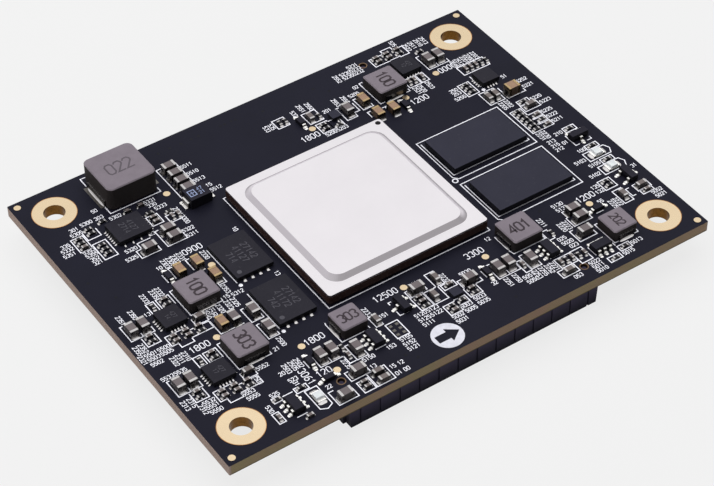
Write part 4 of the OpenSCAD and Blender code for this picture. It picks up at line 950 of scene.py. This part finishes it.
class MODULE_OT_board(bpy.types.Operator):
    """Finishes the board, its gold plating and the covered vias"""

    bl_idname = "module.board"
    bl_label = "Board"

    def execute(self, context):
        colours = context.scene.module_colours
        print_sizes = context.scene.module_print
        give(make_board_finish(colours), "circuit_board")
        gold = make_finish("Gold", colours.gold, dark=0.96, rough=(0.26, 0.32), scales=(300.0, 2500.0),
                           depth=0.0001 * MM, metal=1.0, side=tuple(colours.gold_shade))
        give(gold, "mounting_hole_plating", "test_pads", "front_connector_contacts",
             "rear_connector_contacts")
        pits = Raised(TOP, BORDER_FILM * MM)
        for x, y in VIAS:
            pits.disc(x, y, print_sizes.via_diameter / MM / 2, sides=20)
        dark = make_finish("Covered via", shade(colours.mask, 0.5), rough=(0.4, 0.6))
        pits.piece("covered_vias", "solder_mask", dark)
        boxes = solid_boxes("mounting_hole_plating")
        borders = Raised(boxes[0][1].z, BORDER_FILM * MM)
        for low, high in boxes:
            middle, outer = (low + high) / 2 / MM, (high.x - low.x) / 2 / MM
            borders.ring(middle.x, middle.y, outer - PLATING_BORDER, outer, sides=64)
        amber = make_finish("Plating border", colours.gold_border, rough=(0.4, 0.5), metal=0.5)
        borders.piece("plating_borders", "gold", amber)
        rims = Raised(TOP, MARK_FILM * MM)
        for x, y in PEG_HOLES:
            rims.ring(x, y, PEG_HOLE_RADIUS, PEG_HOLE_RADIUS + PEG_RIM_WIDTH)
        bare = make_finish("Bare laminate", colours.rim, dark=0.7, rough=(0.6, 0.8))
        rims.piece("peg_hole_rims", "solder_mask", bare)
        return {"FINISHED"}


class MODULE_OT_packages(bpy.types.Operator):
    """Finishes the processor, memory, flash and other moulded packages"""

    bl_idname = "module.packages"
    bl_label = "Packages"

    def execute(self, context):
        colours = context.scene.module_colours
        give(make_lid_finish(colours), "processor_lid")
        substrate = make_finish("Substrate", colours.substrate, dark=0.7, rough=(0.5, 0.7),
                                scales=(800.0, 5000.0))
        give(substrate, "processor_substrate")
        silicon = make_finish("Silicon", colours.silicon, dark=0.9, rough=(0.1, 0.2), shine=0.5)
        give(silicon, "processor_die")
        # Painted shade: the moulds' side faces take a darker copy of their colour
        memory = make_finish("Memory mould", colours.memory, dark=0.88, rough=(0.55, 0.7),
                             scales=(200.0, 9000.0), shine=0.1, dust=0.05, side=shade(colours.memory, 0.3))
        paler = ("memory_chip_1", "memory_chip_2", "monitor_chips")
        give(memory, *paler)
        chips = ("flash_chip_1", "flash_chip_2", "power_stage_chip", "converter_chip_1", "converter_chip_2",
                 "converter_chip_3", "controller_chip")
        # Painted shade: darker side faces
        chip = make_finish("Chip mould", colours.chip, dark=0.85, rough=(0.5, 0.68), scales=(250.0, 9000.0),
                           shine=0.1, dust=0.05, side=shade(colours.chip, 0.4))
        give(chip, *chips)
        # Painted shade: darker side faces
        leaded = make_finish("Leaded mould", colours.leaded, dark=0.8, rough=(0.45, 0.62), shine=0.1,
                             side=shade(colours.leaded, 0.4))
        give(leaded, *LEADED_BODIES)
        soften(0.06 * MM, "processor_substrate", *paler, *chips)
        soften(0.05 * MM, *LEADED_BODIES)
        return {"FINISHED"}


class MODULE_OT_chip_marks(bpy.types.Operator):
    """Marks the flash and power chips and the input diode, and lays a painted shade disc in the lid's corner
    hole
    """

    bl_idname = "module.chip_marks"
    bl_label = "Chip Marks"

    def execute(self, context):
        colours = context.scene.module_colours
        faint = make_finish("Chip print", colours.chip_ink, dark=0.8, rough=(0.5, 0.7))
        for node, rows, height in CHIP_MARKS:
            low, high = (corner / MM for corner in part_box(node))
            marks = Raised(high.z * MM, MARK_FILM * MM)
            middle = (low + high) / 2
            for index, text in enumerate(rows):
                drop = (index - (len(rows) - 1) / 2) * MARK_ROW_STEP * height
                marks.number(text, middle.x - drop, middle.y, height, height * CHIP_STROKE, MARK_TURN,
                             centred=True)
            if node.startswith("flash"):
                marks.disc(low.x + DIMPLE_INSET, low.y + DIMPLE_INSET, DIMPLE_RADIUS)
            marks.piece(node + "_mark", "chip_mould", faint)
        low, high = (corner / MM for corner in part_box("input_diode_body"))
        x, y = (low.x + high.x) / 2, (low.y + high.y) / 2
        marks = Raised(high.z * MM, MARK_FILM * MM)
        left, front, right, back = DIODE_BOX
        marks.box(x + left, y + front, x + right, y + back, DIODE_LINE)
        for line in DIODE_CROSS:
            marks.line([(x + u, y + v) for u, v in line], DIODE_LINE)
        for text, u, v in DIODE_NUMBERS:
            marks.number(text, x + u, y + v, DIODE_DIGIT, DIODE_STROKE)
        pale = make_finish("Diode print", colours.diode_ink, dark=0.8, rough=(0.5, 0.7))
        marks.piece("input_diode_mark", "black_mould", pale)
        # Painted shade: a dark disc laid in the lid's corner hole
        rim_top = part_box("processor_substrate")[1].z + LID_RIM * MM
        pit = Raised(rim_top, HOLE_FILM * MM)
        pit.disc(*LID_HOLE, LID_HOLE_RADIUS)
        pit.piece("lid_hole_shade", "lid_metal", make_finish("Lid hole", colours.lid_hole_shade, rough=(0.6, 0.8)))
        return {"FINISHED"}


class MODULE_OT_inductors(bpy.types.Operator):
    """Finishes the inductors and prints their numbers"""

    bl_idname = "module.inductors"
    bl_label = "Inductors"

    def execute(self, context):
        colours = context.scene.module_colours
        # Painted shade on the inductors' sides
        powder = make_finish("Inductor powder", colours.inductor, dark=0.9, rough=(0.55, 0.75),
                             scales=(700.0, 7000.0), depth=0.006 * MM, side=tuple(colours.inductor_side_shade))
        ink = make_finish("Inductor number", colours.inductor_ink, dark=0.8, rough=(0.6, 0.8))
        faint = make_finish("Faint inductor number", shade(colours.inductor, 0.55), dark=0.9,
                            rough=(0.6, 0.8))
        for node, text, height, turn in INDUCTOR_NUMBERS:
            give(powder, node)
            low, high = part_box(node)
            middle = (low + high) / 2 / MM
            print_layer = Raised(high.z, NUMBER_FILM * MM)
            pressed = node == "core_inductor"
            stroke = height * (PRESSED_STROKE if pressed else INDUCTOR_STROKE)
            print_layer.number(text, middle.x, middle.y, height, stroke, turn, centred=True,
                               step=INDUCTOR_STEP)
            print_layer.piece(node + "_number", "ferrite", faint if pressed else ink)
        return {"FINISHED"}


class MODULE_OT_chip_parts(bpy.types.Operator):
    """Finishes the capacitors, resistors, leads and pads"""

    bl_idname = "module.chip_parts"
    bl_label = "Chip Parts"

    def execute(self, context):
        colours = context.scene.module_colours
        ceramics = (
            ("Grey ceramic", colours.grey_ceramic, ("bulk_capacitors",)),
            ("Gold ceramic", colours.gold_ceramic, ("output_capacitors",)),
            ("Brown ceramic", colours.brown_ceramic,
             ("mid_capacitors", "small_capacitors", "decoupling_capacitors")),
        )
        # Painted shade: each ceramic's side faces take a darker copy of its colour
        for name, tone, nodes in ceramics:
            give(make_finish(name, tone, dark=0.86, rough=(0.4, 0.55), scales=(900.0, 7000.0),
                             shine=0.3, side=shade(tone, 0.3)), *nodes)
        glaze = make_finish("Resistor glaze", colours.resistor, rough=(0.25, 0.4), shine=0.3)
        give(glaze, "small_resistors")
        tin = make_finish("Tin", colours.tin, dark=0.88, rough=(0.2, 0.36), scales=(900.0, 5000.0),
                          metal=1.0, side=tuple(colours.tin_shade))
        ends = ("bulk_capacitor_ends", "mid_capacitor_ends", "small_capacitor_ends", "small_resistor_ends",
                "decoupling_capacitor_ends")
        give(tin, "flash_pads", "core_inductor_clips", "rail_inductor_clips", "small_inductor_clips",
             "leadless_chip_pads", "processor_solder_balls", "memory_solder_balls", *ends)
        # Painted highlight: the leads' tin is whitened to stand in for their glints
        lead = make_finish("Lead", colours.lead, dark=0.95, rough=(0.2, 0.34), scales=(1200.0, 5000.0),
                           metal=0.3, side=tuple(colours.lead_shade))
        give(lead, "regulator_leads", "transistor_leads", "diode_leads", "input_diode_leads", "led_ends")
        # Painted shade: the warm tin's side faces take a darker copy of its colour
        warm = make_finish("Warm tin", colours.warm_tin, dark=0.88, rough=(0.2, 0.36),
                           scales=(900.0, 5000.0), metal=1.0, side=shade(colours.warm_tin, 0.25))
        give(warm, "output_capacitor_ends")
        soften(0.06 * MM, "output_capacitor_ends", "bulk_capacitor_ends", "mid_capacitor_ends")
        soften(0.04 * MM, "small_capacitor_ends", "small_resistor_ends", "decoupling_capacitor_ends",
               "bulk_capacitors", "output_capacitors")
        return {"FINISHED"}


class MODULE_OT_lights(bpy.types.Operator):
    """Finishes the indicator lights and adds their dies"""

    bl_idname = "module.lights"
    bl_label = "Indicator Lights"

    def execute(self, context):
        colours = context.scene.module_colours
        give(make_finish("Light base", colours.light_base, dark=0.92, rough=(0.4, 0.5)), "led_bases")
        give(make_lens_finish(colours), "led_lenses")
        green = make_finish("Light die", colours.light_die, dark=0.7, rough=(0.3, 0.5))
        for index, (low, high) in enumerate(solid_boxes("led_bases"), 1):
            middle = (low + high) / 2 / MM
            die = Raised(high.z, LIGHT_DIE_HEIGHT * MM)
            die.disc(middle.x, middle.y, LIGHT_DIE_RADIUS, sides=20)
            die.piece(f"light_die_{index}", "led_clear", green)
        return {"FINISHED"}


class MODULE_OT_connectors(bpy.types.Operator):
    """Finishes the connector housings"""

    bl_idname = "module.connectors"
    bl_label = "Connectors"

    def execute(self, context):
        colours = context.scene.module_colours
        plastic = make_finish("Connector plastic", colours.plastic, dark=0.9, rough=(0.5, 0.65),
                              scales=(200.0, 6000.0), shine=0.03)
        # Painted shade: the plastic darkens towards the floor
        deepen(plastic, PLASTIC_LOW * MM, BOARD_LOW.z - PLASTIC_BELOW_BOARD * MM, tuple(colours.plastic_low_shade))
        give(plastic, "front_connector_housing", "front_connector_walls", "rear_connector_housing",
             "rear_connector_walls")
        return {"FINISHED"}


class MODULE_OT_outlines(bpy.types.Operator):
    """Prints the white outlines round the parts"""

    bl_idname = "module.outlines"
    bl_label = "Printed Outlines"

    def execute(self, context):
        sizes = context.scene.module_print
        width = sizes.line_width / MM
        sheet = Raised(TOP, sizes.thickness)
        for box in PRINT_BOXES:
            sheet.box(*box, width)
        for line in (*map(square_corners, PRINT_LINES), *SLANTED_LINES):
            sheet.line(line, width)
        for drop in (0.0, BLOCK_STEP):
            for x0, y0, x1, y1 in BLOCK_BOXES:
                sheet.box(x0, y0 - drop, x1, y1 - drop, width)
            for line in BLOCK_LINES:
                sheet.line([(x, y - drop) for x, y in square_corners(line)], width)
        for top, bottom in MEMORY_ROWS:
            sheet.line(((MEMORY_LEFT, top), (MEMORY_LEFT, bottom + MEMORY_CHAMFER),
                        (MEMORY_LEFT + MEMORY_CHAMFER, bottom), (MEMORY_RIGHT, bottom), (MEMORY_RIGHT, top)),
                       width, closed=True)
        for x, y, turn in LIGHT_BOXES:
            way = Matrix.Rotation(math.radians(turn), 2)
            half, wide, tip = LIGHT_BOX_LENGTH / 2, LIGHT_BOX_WIDTH / 2, LIGHT_TIP
            corners = ((-half, -wide), (half, -wide), (half + tip, 0), (half, wide), (-half, wide))
            sheet.line([way @ Vector(c) + Vector((x, y)) for c in corners], width, closed=True)
        for x, y, diameter in PRINT_DOTS:
            sheet.disc(x, y, diameter / 2, sides=20)
        sheet.ring(*PRINT_RING)
        sheet.piece("printed_outlines", "solder_mask", printed_ink(context))
        return {"FINISHED"}


class MODULE_OT_numbers(bpy.types.Operator):
    """Prints the reference numbers beside the parts"""

    bl_idname = "module.numbers"
    bl_label = "Reference Numbers"

    def execute(self, context):
        sizes = context.scene.module_print
        height, stroke = sizes.digit_height / MM, sizes.digit_stroke / MM
        sheet = Raised(TOP, sizes.thickness)
        places = [(x, y, count, 0) for x, y, count in NUMBERS_ACROSS]
        places += [(x, y, count, -90) for x, y, count in NUMBERS_DOWN]
        for index, (x, y, count, turn) in enumerate(places):
            sheet.number(counting_number(index, count), x, y, height, stroke, turn)
        for text, x, y, turn in TEST_PAD_NUMBERS:
            sheet.number(text, x, y, sizes.label_height / MM, sizes.label_stroke / MM, turn)
        sheet.piece("reference_numbers", "solder_mask", printed_ink(context))
        return {"FINISHED"}


def counting_number(index, count):
    """The index written with the counting digits, to a fixed number of places."""
    base = len(COUNT_DIGITS)
    return "".join(COUNT_DIGITS[(index // base ** place + place) % base] for place in reversed(range(count)))


class MODULE_OT_sign(bpy.types.Operator):
    """Prints the round sign with an arrow at the front edge"""

    bl_idname = "module.sign"
    bl_label = "Direction Sign"

    def execute(self, context):
        sizes = context.scene.module_print
        x, y = SIGN_PLACE
        disc = Raised(TOP, sizes.thickness)
        disc.disc(x, y, SIGN_RADIUS, sides=64)
        white = make_finish("Sign ink", context.scene.module_colours.sign, dark=0.84, rough=(0.5, 0.7),
                            scales=(1500.0, 9000.0))
        disc.piece("direction_sign_disc", "solder_mask", white)
        arrow = Raised(TOP + sizes.thickness, sizes.thickness * SIGN_ARROW_SHARE)
        for outline in (SIGN_SHAFT, SIGN_HEAD):
            arrow.prism([(x + u, y + v) for u, v in outline])
        arrow.piece("direction_sign_arrow", "solder_mask", bpy.data.materials["Board"])
        return {"FINISHED"}


class MODULE_OT_solder(bpy.types.Operator):
    """Adds solder at the metal ends, leads and pads"""

    bl_idname = "module.solder"
    bl_label = "Solder"

    def execute(self, context):
        sizes = context.scene.module_solder
        colours = context.scene.module_colours
        # Painted highlight: the solder is the tin's colour made lighter, standing in for its shine
        bright = make_finish("Solder", shade(colours.tin, 1.15), dark=0.9, rough=(0.16, 0.3),
                             scales=(1200.0, 5000.0), metal=1.0, side=tuple(colours.tin_shade))
        for name, jobs, up in (("end_solder", END_SOLDER, 1), ("under_solder", UNDER_SOLDER, -1)):
            solder = Solder()
            for body, metal, reach, climb, flare in jobs:
                for box, centre, way, half, half_width in metal_ends(metal, solid_boxes(body), False):
                    foot = box[0].z if up > 0 else box[1].z
                    face = Vector((centre.x, centre.y, foot)) + way * half
                    tall = (box[1].z - box[0].z) * climb
                    solder.mound(face, way, half_width, tall, reach * MM, flare * MM, up)
            solder.piece(name, bright)
        leads = Solder()
        for body, metal in LEAD_SOLDER:
            for box, centre, way, half, half_width in metal_ends(metal, solid_boxes(body), True):
                toe = Vector((centre.x, centre.y, box[0].z)) + way * (half - sizes.lead_back)
                leads.mound(toe, way, half_width, sizes.lead_height, sizes.lead_back + sizes.lead_reach,
                            sizes.lead_flare)
        # The lead solder takes the lead finish, whitened as a painted highlight
        leads.piece("lead_solder", bpy.data.materials["Lead"])
        # Painted highlight: bright flat films on the leads' bends
        for body, metal in BENT_LEADS:
            bend_highlights = Raised(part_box(metal)[1].z, METAL_FILM * MM)
            for _, centre, way, half, half_width in metal_ends(metal, solid_boxes(body), True):
                middle = centre - way * (half - LEAD_BEND * MM / 2)
                bend_highlights.plate(middle, way, LEAD_BEND / 2, half_width / MM)
            bend_highlights.piece(metal[:-1] + "_bends", "tin", bpy.data.materials["Lead"])
        clips = Solder()
        for inductors, metal, reach, height in CLIP_SOLDER:
            bodies = [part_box(node) for node in inductors]
            for _, centre, way, half, half_width in metal_ends(metal, bodies, False):
                face = Vector((centre.x, centre.y, TOP)) + way * half
                clips.mound(face, way, half_width, height * MM, reach * MM, 0)
        clips.piece("clip_solder", bright)
        toes = Solder()
        for chips, metal, reach, height, flare in PAD_SOLDER:
            bodies = [box for node in chips for box in solid_boxes(node)]
            for box in solid_boxes(metal):
                place = pad_side(box, bodies)
                if place:
                    edge, way, half_width = place
                    toes.mound(edge, way, half_width, height * MM, reach * MM, flare * MM)
        toes.piece("pad_solder", bright)
        pads = Raised(TOP, METAL_FILM * MM)
        for x, y, along, across in BARE_PADS:
            pads.plate(Vector((x, y)) * MM, Vector((1, 0)), along / 2, across / 2)
        core = [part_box("core_inductor")]
        for _, centre, way, half, half_width in metal_ends("core_inductor_clips", core, False):
            pads.plate(centre + way * half, way, CORE_PAD_REACH, half_width / MM + CORE_PAD_MARGIN)
        dull = make_finish("Bare pad", colours.bare_pad, rough=(0.35, 0.5), metal=1.0)
        pads.piece("bare_pads", "tin", dull)
        return {"FINISHED"}


def printed_ink(context):
    """White printing ink, made once and shared by the outlines and numbers."""
    name = "Printed ink"
    if name in bpy.data.materials:
        return bpy.data.materials[name]
    ink = context.scene.module_colours.ink
    return make_finish(name, ink, dark=0.84, rough=(0.5, 0.7), scales=(1500.0, 9000.0))


class MODULE_OT_stage(bpy.types.Operator):
    """Sets the floor, lamps, background and camera"""

    bl_idname = "module.stage"
    bl_label = "Stage"

    def execute(self, context):
        scene = context.scene
        stage = scene.module_stage
        scene.view_settings.view_transform = "Standard"
        add_floor(stage)
        set_world(scene, stage)
        add_lamp("Key", KEY_PLACE, KEY_SIDE, stage.key_power)
        add_lamp("Fill", FILL_PLACE, FILL_SIDE, stage.fill_power)
        scene.camera = add_camera()
        return {"FINISHED"}


def background_share(tree):
    """1 for rays that show the background: from the camera, in a reflection or through glass."""
    path = tree.nodes.new("ShaderNodeLightPath")
    seen = math_node(tree, "MAXIMUM", path.outputs["Is Camera Ray"], path.outputs["Is Glossy Ray"])
    return math_node(tree, "MAXIMUM", seen, path.outputs["Is Transmission Ray"])


def add_floor(stage):
    """Pale floor that shows as plain background, keeps the module's shadow and is clear from below."""
    mesh = bpy.data.meshes.new("floor")
    corners = [(x * FLOOR_HALF, y * FLOOR_HALF, 0) for x, y in ((-1, -1), (1, -1), (1, 1), (-1, 1))]
    mesh.from_pydata(corners, [], [(0, 1, 2, 3)])
    floor = bpy.data.objects.new("floor", mesh)
    bpy.context.scene.collection.objects.link(floor)
    material = bpy.data.materials.new("Floor")
    material.use_nodes = True
    tree = material.node_tree
    tree.nodes.clear()
    matte = add_node(tree, "ShaderNodeBsdfDiffuse", {"Color": (*stage.floor, 1.0)})
    plain = add_node(tree, "ShaderNodeEmission", {"Color": (*stage.floor, 1.0), "Strength": 1.0})
    share = math_node(tree, "MULTIPLY", background_share(tree), stage.floor_glow)
    mix = add_node(tree, "ShaderNodeMixShader", {0: share, 1: matte.outputs[0], 2: plain.outputs[0]})
    below = tree.nodes.new("ShaderNodeNewGeometry").outputs["Backfacing"]
    clear = tree.nodes.new("ShaderNodeBsdfTransparent").outputs[0]
    surface = add_node(tree, "ShaderNodeMixShader", {0: below, 1: mix.outputs[0], 2: clear})
    end = tree.nodes.new("ShaderNodeOutputMaterial")
    tree.links.new(surface.outputs[0], end.inputs["Surface"])
    mesh.materials.append(material)


def set_world(scene, stage):
    """Light from all round, the floor's colour as background, reflections a little brighter overhead."""
    world = bpy.data.worlds.new("Studio")
    scene.world = world
    world.use_nodes = True
    tree = world.node_tree
    tree.nodes.clear()
    strength = ramp(tree, background_share(tree), 0.0, 1.0, stage.ambient, 1.0)
    way = tree.nodes.new("ShaderNodeTexCoord").outputs["Generated"]
    height = add_node(tree, "ShaderNodeSeparateXYZ", {"Vector": way}).outputs["Z"]
    overhead = ramp(tree, height, 0.6, 0.75, -stage.overhead, stage.overhead)
    gloss = tree.nodes.new("ShaderNodeLightPath").outputs["Is Glossy Ray"]
    change = math_node(tree, "MULTIPLY", overhead, gloss)
    light = add_node(tree, "ShaderNodeBackground", {
        "Color": (*stage.floor, 1.0), "Strength": math_node(tree, "ADD", strength, change)})
    end = tree.nodes.new("ShaderNodeOutputWorld")
    tree.links.new(light.outputs[0], end.inputs["Surface"])


def add_lamp(name, place, size, power):
    """Square soft lamp that looks at the foot of the module."""
    data = bpy.data.lights.new(name, "AREA")
    data.energy = power
    data.size = size
    lamp = bpy.data.objects.new(name, data)
    lamp.visible_glossy = False
    lamp.location = place
    lamp.rotation_euler = (-Vector(place)).to_track_quat("-Z", "Y").to_euler()
    bpy.context.scene.collection.objects.link(lamp)


def add_camera():
    """Camera at the photograph's place and angle."""
    data = bpy.data.cameras.new("Camera")
    data.sensor_fit = "HORIZONTAL"
    data.sensor_width = SENSOR_WIDTH
    data.lens = FOCAL_PIXELS / IMAGE_WIDTH * SENSOR_WIDTH
    data.clip_start = 0.01
    camera = bpy.data.objects.new("Camera", data)
    right, down, forward = (Vector(v) for v in (CAMERA_RIGHT, CAMERA_DOWN, CAMERA_FORWARD))
    turn = Matrix((right, -down, -forward)).transposed()
    camera.matrix_world = Matrix.Translation(Vector(CAMERA_PLACE) * MM) @ turn.to_4x4()
    bpy.context.scene.collection.objects.link(camera)
    return camera


PIECE_OPERATORS = (
    MODULE_OT_board, MODULE_OT_packages, MODULE_OT_chip_marks, MODULE_OT_inductors, MODULE_OT_chip_parts,
    MODULE_OT_lights, MODULE_OT_connectors, MODULE_OT_outlines, MODULE_OT_numbers, MODULE_OT_sign,
    MODULE_OT_solder, MODULE_OT_stage,
)


class MODULE_PT_panel(bpy.types.Panel):
    """Lists the steps that finish the module"""

    bl_label = "System on Module"
    bl_space_type = "VIEW_3D"
    bl_region_type = "UI"
    bl_category = "Module"

    def draw(self, context):
        for operator in PIECE_OPERATORS:
            self.layout.operator(operator.bl_idname)


PROPERTY_GROUPS = {
    "module_colours": ModuleColours, "module_print": ModulePrint, "module_solder": ModuleSolder,
    "module_stage": ModuleStage,
}
CLASSES = (*PROPERTY_GROUPS.values(), *PIECE_OPERATORS, MODULE_PT_panel)


def register():
    """Registers the classes and hangs the property groups on the scene."""
    for cls in CLASSES:
        bpy.utils.register_class(cls)
    for name, group in PROPERTY_GROUPS.items():
        setattr(bpy.types.Scene, name, bpy.props.PointerProperty(type=group))


def unregister():
    """Takes away what register added."""
    for name in PROPERTY_GROUPS:
        delattr(bpy.types.Scene, name)
    for cls in reversed(CLASSES):
        bpy.utils.unregister_class(cls)


def main():
    register()
    make_grain_group()
    make_facing_group()
    make_dust_group()
    for operator in PIECE_OPERATORS:
        group, name = operator.bl_idname.split(".")
        getattr(getattr(bpy.ops, group), name)()


if __name__ == "__main__":
    main()
